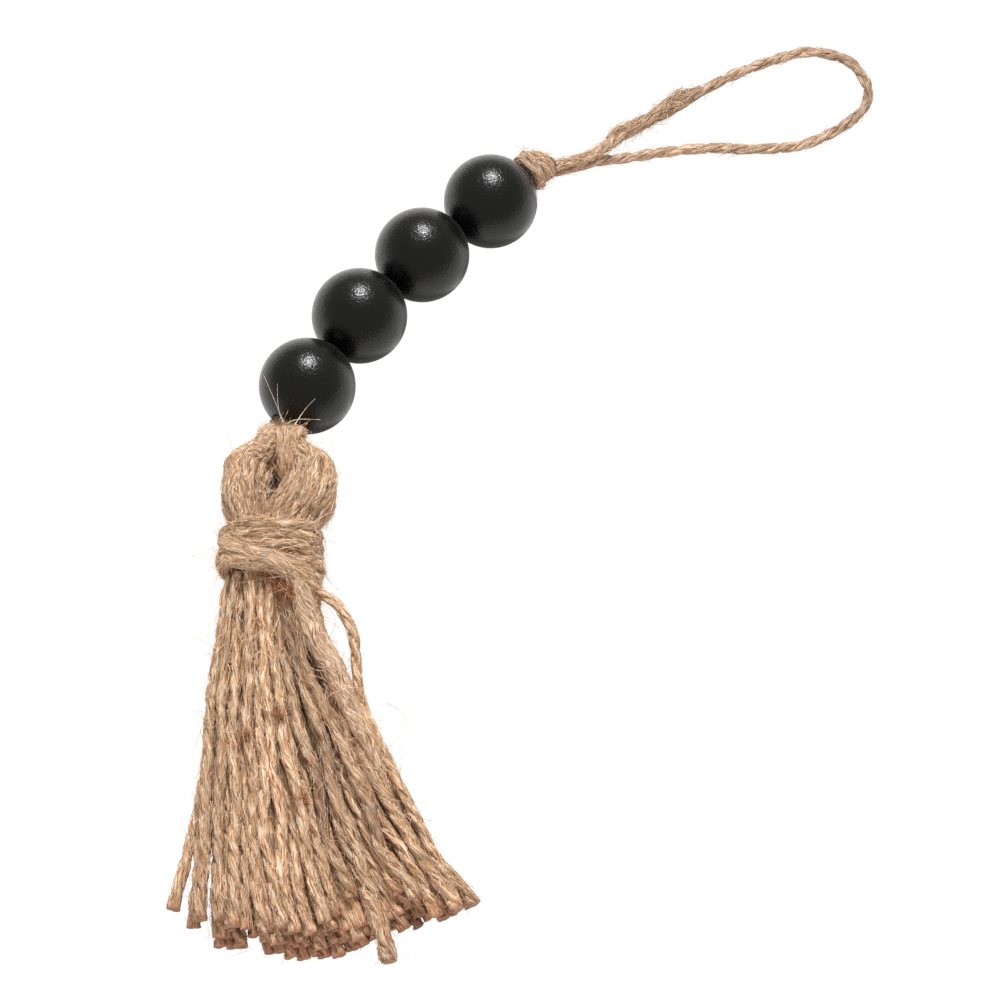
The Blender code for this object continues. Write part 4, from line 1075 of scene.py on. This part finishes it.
wrap_guides = np.array([(x, y, 0) for x, y in WRAP_END_ROUTE]) * MM
wrap_line = smooth_route(wrap_guides, count=WRAP_END_STATIONS)
wrap_share = np.linspace(0, 1, WRAP_END_STATIONS)
wrap_radius = np.interp(wrap_share, np.linspace(0, 1, len(WRAP_END_RADII)), WRAP_END_RADII)
wrap_lie = np.maximum(
    lie_on(wrap_line, cut_strands, skirt_radius), lie_on(wrap_line, band_paths, 0.8 * BAND_TWINE_RADIUS)
)
wrap_dive = WRAP_END_DIVE * smooth_step(wrap_share, 0.8, 1.0)
wrap_line[:, 2] = wrap_lie + WRAP_END_RISE * wrap_radius - wrap_dive
yarn_piece(
    "wrap_end", wrap_line[None], wrap_radius, 35, WRAP_END_COLOURS, "binding", plies=6, depth=0.55,
    pitch=38 * MM, open_end=0.3,
)

# ----------------------------------------
# Loose jute hairs stand off every twine, most of them lying along it with one end free.

HAIR_SIDES = 3
HAIR_LENGTH = 6 * MM
HAIR_WIDTHS = (0.6, 1.4)
HAIR_TIP = 0.4
HAIR_ROOT = 0.93  # how far out a hair starts, as a share of the twine's radius
UPWARD, ALONG, ACROSS = (0.01, 0.02, 1), (0, 1, 0.02), (1, 0.02, 0.01)
HAIR_KINDS = {  # lie, swirl, curl, rings, radius in mm, and the lightest and darkest tint
    "fibre": (0.03, 0.2, 0.06, 4, 0.07, (0.62, 1.3)),
    "fuzz": (0.12, 0.25, 0.2, 4, 0.05, (0.55, 1.3)),
    "hair": (0.28, 0.35, 0.4, 3, 0.045, (0.65, 1.8)),
    "curl": (0.1, 0.6, 0.65, 6, 0.045, (0.9, 1.9)),
    "flyaway": (0.3, 0.3, 0.6, 7, 0.045, (0.8, 1.6)),
    "cut": (0.25, 0.5, 0.3, 3, 0.055, (0.6, 1.4)),
    "frayed": (0.3, 0.6, 0.7, 5, 0.07, (0.5, 1.5)),
}
HAIR_COLOURS = ((0.64, 0.375, 0.195), (0.94, 0.74, 0.54), (0.33, 0.135, 0.047))
END_COLOURS = ((0.50, 0.28, 0.17), (0.80, 0.55, 0.38), (0.26, 0.12, 0.06))
FRAY_COLOURS = ((0.30, 0.10, 0.04), (0.55, 0.27, 0.13), (0.10, 0.028, 0.012))
FRAY_RADIUS = 0.25 * MM
FRAYS = np.array((  # each fray's two ends, in mm
    ((-21.7, -14.0, 18.5), (-19.3, -15.6, 18.3)), ((-21.2, -14.6, 18.4), (-19.9, -15.9, 18.2)),
    ((-18.6, -16.2, 17.8), (-15.2, -18.3, 17.6)), ((-18.4, -16.8, 17.6), (-15.4, -19.2, 17.4)),
    ((-17.0, -18.0, 17.5), (-15.0, -20.0, 17.2)), ((-17.2, -42.6, 13.9), (-16.4, -44.2, 13.8)),
    ((-12.3, -58.9, 11.3), (-11.6, -60.4, 11.2)), ((-23.4, -46.7, 12.0), (-23.0, -47.8, 11.9)),
))
KNOT_HAIR_RADIUS = 0.95 * MM
HAIRS = (  # name, host, how many, their lengths in mm, and kind
    ("fibres_skirt_left", "top", 2700, (1.5, 6.0), "fibre"),
    ("fibres_skirt_right", "top", 2700, (1.5, 6.0), "fibre"),
    ("hairs_skirt", "skirt", 4200, (1.5, 5.5), "hair"),
    ("flyaways_skirt", "skirt", 300, (2.0, 5.5), "flyaway"),
    ("curls_skirt", "top", 600, (2.0, 5.0), "curl"),
    ("curls_head", "head", 200, (1.5, 4.0), "curl"),
    ("curls_band", "band", 220, (2.0, 4.5), "curl"),
    ("fibres_head", "head", 3300, (1.0, 4.0), "fibre"),
    ("hairs_head", "head", 2800, (1.0, 3.2), "hair"),
    ("flyaways_head", "head", 150, (2.0, 4.5), "flyaway"),
    ("fibres_band", "band", 1700, (2.0, 7.0), "fibre"),
    ("hairs_band", "band", 2300, (0.8, 3.2), "hair"),
    ("flyaways_band", "band", 100, (2.0, 4.5), "flyaway"),
    ("fibres_wrap_end", "wrap_end", 1100, (3.0, 9.0), "fibre"),
    ("hairs_wrap_end", "wrap_end_out", 600, (2.0, 6.0), "hair"),
    ("fibres_tie", "tie", 600, (1.5, 4.0), "fuzz"),
    ("hairs_tie", "tie_front", 500, (1.0, 3.2), "hair"),
    ("fibres_core", "core", 420, (1.0, 3.0), "fuzz"),
    ("fibres_splice", "splice", 650, (1.5, 5.0), "fuzz"),
    ("hairs_splice", "splice", 160, (1.5, 4.0), "hair"),
    ("hairs_loop", "loop", 1100, (1.0, 4.0), "fuzz"),
    ("fibres_knot", "knot", 600, (1.0, 4.0), "fuzz"),
    ("hairs_knot", "knot", 200, (1.0, 3.0), "hair"),
    ("fibres_ends", "ends", 2200, (0.6, 2.2), "cut"),
    ("fibres_frayed", "frays", 640, (0.6, 2.4), "frayed"),
)
PALE_HAIRS = 6
PALE_HAIR_COLOURS = ((0.74, 0.60, 0.46), (0.93, 0.83, 0.71), (0.50, 0.36, 0.25))
LONG_HAIR_RADIUS = 0.052
LONG_HAIRS = (  # each hair's points, in mm
    ((-17.9, 17.6, 19.3), (-19.4, 21.4, 20.0), (-22.5, 29.2, 19.0)),
    ((-18.4, 18.0, 19.3), (-19.2, 21.5, 20.5), (-19.6, 26.8, 20.0)),
    ((-15.9, 17.6, 19.2), (-13.9, 20.6, 20.0), (-11.8, 23.2, 20.2)),
    ((-17.5, 17.9, 19.3), (-15.3, 18.3, 20.4), (-10.6, 18.5, 20.0)),
    ((-22.9, 3.4, 18.6), (-20.8, 2.5, 19.3), (-18.7, 3.9, 18.6)),
    ((-22.0, 1.6, 18.6), (-20.3, 3.4, 19.3), (-19.6, 5.9, 18.6)),
    (
        (-16.0, -18.2, 19.4), (-19.2, -19.9, 19.8), (-21.2, -23.3, 20.0), (-22.9, -28.3, 19.4),
        (-23.4, -32.3, 18.8),
    ),
    ((-25.4, -4.4, 20.3), (-26.7, -10.4, 20.4), (-26.5, -13.2, 19.4)),
    ((-18.2, 1.9, 18.9), (-18.9, 0.1, 19.4), (-19.7, -1.9, 19.0)),
    ((-22.4, 5.4, 18.4), (-20.4, 3.2, 19.2), (-18.0, 2.6, 18.8)),
    ((-13.2, -26.0, 19.0), (-8.6, -24.4, 19.5), (-5.4, -27.0, 18.5)),
    ((-24.0, -33.0, 16.0), (-20.6, -31.0, 17.4), (-16.8, -34.6, 16.0)),
    ((-4.0, -38.0, 16.5), (-8.5, -40.5, 16.0), (-11.8, -46.2, 13.6)),
    ((-8.2, -52.0, 12.4), (-5.4, -56.4, 12.6), (-5.8, -62.4, 11.0)),
    ((-20.5, -52.0, 11.6), (-16.6, -55.8, 12.2), (-16.4, -61.2, 10.6)),
    ((-22.5, -86.1, 1.5), (-24.1, -86.4, 1.0), (-25.4, -86.8, 0.6), (-26.6, -87.7, 0.4)),
    ((-10.4, -77.5, 9.0), (-10.2, -75.7, 9.6), (-9.1, -75.2, 9.8), (-8.5, -76.7, 9.6), (-9.4, -78.7, 9.0)),
    ((-29.0, -40.0, 9.0), (-32.0, -44.0, 9.5), (-32.5, -50.0, 8.0)),
    ((3.5, -38.0, 8.0), (7.0, -41.0, 8.5), (6.5, -47.0, 7.5)),
)


def hair_lines(hosts, radii, reference, count, lengths, lie, swirl, curl, rings):
    """Lines of many hairs on these twines. Each follows its twine from a random place and to a random side.
    It turns round it by swirl and leaves its surface by lie, both per length, and bends off by curl."""
    rng, stations = hair_rng, hosts.shape[1]
    host = rng.integers(0, len(hosts), (count, 1))
    length = rng.uniform(*np.array(lengths) * MM, (count, 1))
    t = np.linspace(0, 1, rings)[None]
    step = distance_along(hosts)[:, -1] / (stations - 1)
    spot, reach = rng.uniform(1, stations - 2, (count, 1)), length / step[host]
    way = rng.choice((-1, 1), (count, 1))
    way = np.where(spot + reach > stations, -1, np.where(spot - reach < -1, 1, way))
    spot = spot + way * t * reach
    low = np.clip(spot.astype(int), 0, stations - 2)
    share = (spot - low)[..., None]
    side, up = square_frames(hosts, reference)
    radii = np.broadcast_to(radii, hosts.shape[:2])[host, low]
    turn = rng.uniform(0, 2 * math.pi, (count, 1)) + rng.normal(0, swirl, (count, 1)) * t * length / radii
    outward = turned(turn, side[host, low], up[host, low])
    away = np.abs(rng.normal(0, lie, (count, 1))) * length * t
    bend = curl * rng.normal(size=(count, 1, 3)) * (length * t**2)[..., None]
    line = hosts[host, low] * (1 - share) + hosts[host, low + 1] * share
    return line + (HAIR_ROOT * radii + away)[..., None] * outward + bend


def hairs(name, paths, radius, tints, colours, slot="hank"):
    """A piece of thin three-sided tubes along these paths, tapering to the free end and kept off the table.
    The radius is given in mm."""
    radius = radius * MM
    paths[..., 2] = np.maximum(paths[..., 2], 1.5 * radius)
    side, up = (way[..., None, :] for way in square_frames(paths, (0.13, 0.07, 1)))
    width = hair_rng.uniform(*HAIR_WIDTHS, (len(paths), 1)) * np.linspace(1, HAIR_TIP, paths.shape[1])
    rings = paths[..., None, :] + radius * width[..., None, None] * turned(once_round(HAIR_SIDES), side, up)
    tint = hair_rng.uniform(*tints, len(paths))
    girth = len(paths) * HAIR_SIDES * 2 * radius
    jute_piece(name, rings, HAIR_LENGTH, girth, colours, slot, tint, bump=0.0)


hair_rng = np.random.default_rng(51)
all_strands = np.concatenate([cut_strands, arching_strand[None]])
all_radii = np.concatenate([skirt_radius, np.full((1, STRAND_RINGS), TWINE_RADIUS)])
loops = np.array([smooth_route(path, count=300) for path in cord_paths.values()])
frays = np.linspace(FRAYS[:, 0], FRAYS[:, 1], 6, axis=1) * MM
hair_hosts = {  # twines, their radius, a way that no twine runs along, and the slot
    "skirt": (all_strands, all_radii, UPWARD, "hank"),
    "top": (all_strands[lower_count - 12:], all_radii[lower_count - 12:], UPWARD, "hank"),
    "ends": (cut_strands[:, -8:], skirt_radius[:, -8:], UPWARD, "hank"),
    "frays": (frays, FRAY_RADIUS, UPWARD, "hank"),
    "head": (head_paths, HEAD_TWINE_RADIUS, UPWARD, "hank"),
    "band": (band_paths, BAND_TWINE_RADIUS, ALONG, "binding"),
    "wrap_end": (wrap_line[None], 0.85 * wrap_radius, UPWARD, "binding"),
    "wrap_end_out": (wrap_line[None], 0.9 * wrap_radius, UPWARD, "binding"),
    "tie": (tie_paths, TIE_YARN_RADIUS, ACROSS, "cord"),
    "tie_front": (tie_paths[:, :45], TIE_YARN_RADIUS, ACROSS, "cord"),
    "core": (core_strands[:, :12], TWINE_RADIUS, UPWARD, "cord"),
    "splice": (splice_line[None], 0.9 * splice_sleeve, UPWARD, "cord"),
    "loop": (loops, LOOP_YARN_RADIUS, UPWARD, "cord"),
    "knot": (knot_paths, KNOT_HAIR_RADIUS, UPWARD, "cord"),
}
colours_of = {"fibres_ends": END_COLOURS, "fibres_frayed": FRAY_COLOURS}
for name, host, count, lengths, kind in HAIRS:
    *lines, slot = hair_hosts[host]
    *shape, radius, tints = HAIR_KINDS[kind]
    lines = hair_lines(*lines, count, lengths, *shape)
    hairs(name, lines, radius, tints, colours_of.get(name, HAIR_COLOURS), slot)
long_lines = np.array([smooth_route(np.array(points) * MM, count=16) for points in LONG_HAIRS])
hairs("hairs_top", long_lines[:PALE_HAIRS], LONG_HAIR_RADIUS, (1.0, 1.4), PALE_HAIR_COLOURS)
hairs("long_hairs", long_lines[PALE_HAIRS:], LONG_HAIR_RADIUS, (1.0, 1.4), HAIR_COLOURS)

# ----------------------------------------
# A white table and soft white studio light, with one larger lamp in front and a small one above and behind.

TABLE_HALF = 1500 * MM
TABLE_DROP = 0.05 * MM
TABLE_GLOW = 1.05
GLOW_SHARE = 0.96
STUDIO_LIGHT = (1.0, 0.965, 0.92, 1)
STUDIO_STRENGTH = 0.50
LAMP_DISTANCE = 900 * MM
LAMPS = (  # name, the way to it, size in mm, power in watts, and whether it shows in the gloss
    ("key_lamp", (0.05, 0.547, 0.834), 130, 8.8, True), ("front_lamp", (-0.15, -0.93, 0.34), 600, 3.0, False),
)

table_mesh = bpy.data.meshes.new("table")
square = ((-1, -1), (1, -1), (1, 1), (-1, 1))
table_corners = [(x * TABLE_HALF, y * TABLE_HALF, -TABLE_DROP) for x, y in square]
table_mesh.from_pydata(table_corners, [], [(0, 1, 2, 3)])
add_object("table", table_mesh)
table_white, tree, shader = new_material("table_white")
feed(tree, shader, [("Base Color", (0.92, 0.92, 0.92, 1)), ("Roughness", 1.0)])
glow = shader_node(tree, "Emission", [("Color", (1, 1, 1, 1)), ("Strength", TABLE_GLOW)]).outputs[0]
glowing = maths(tree, "MULTIPLY", shader_node(tree, "LightPath").outputs["Is Camera Ray"], GLOW_SHARE)
mixed = shader_node(tree, "MixShader", enumerate((glowing, shader.outputs[0], glow))).outputs[0]
feed(tree, tree.nodes["Material Output"], [("Surface", mixed)])
table_mesh.materials.append(table_white)

for name, way, size, power, in_gloss in LAMPS:
    lamp = aimed(name, bpy.data.lights.new(name, "AREA"), -Vector(way).normalized(), LAMP_DISTANCE)
    lamp.data.shape = "DISK"
    lamp.data.size = size * MM
    lamp.data.energy = power
    lamp.visible_glossy = in_gloss

studio = bpy.data.worlds.new("studio")
studio.use_nodes = True
sky = studio.node_tree.nodes["Background"]
feed(studio.node_tree, sky, [("Color", STUDIO_LIGHT), ("Strength", STUDIO_STRENGTH)])
bpy.context.scene.world = studio
bpy.context.scene.view_settings.view_transform = "Standard"
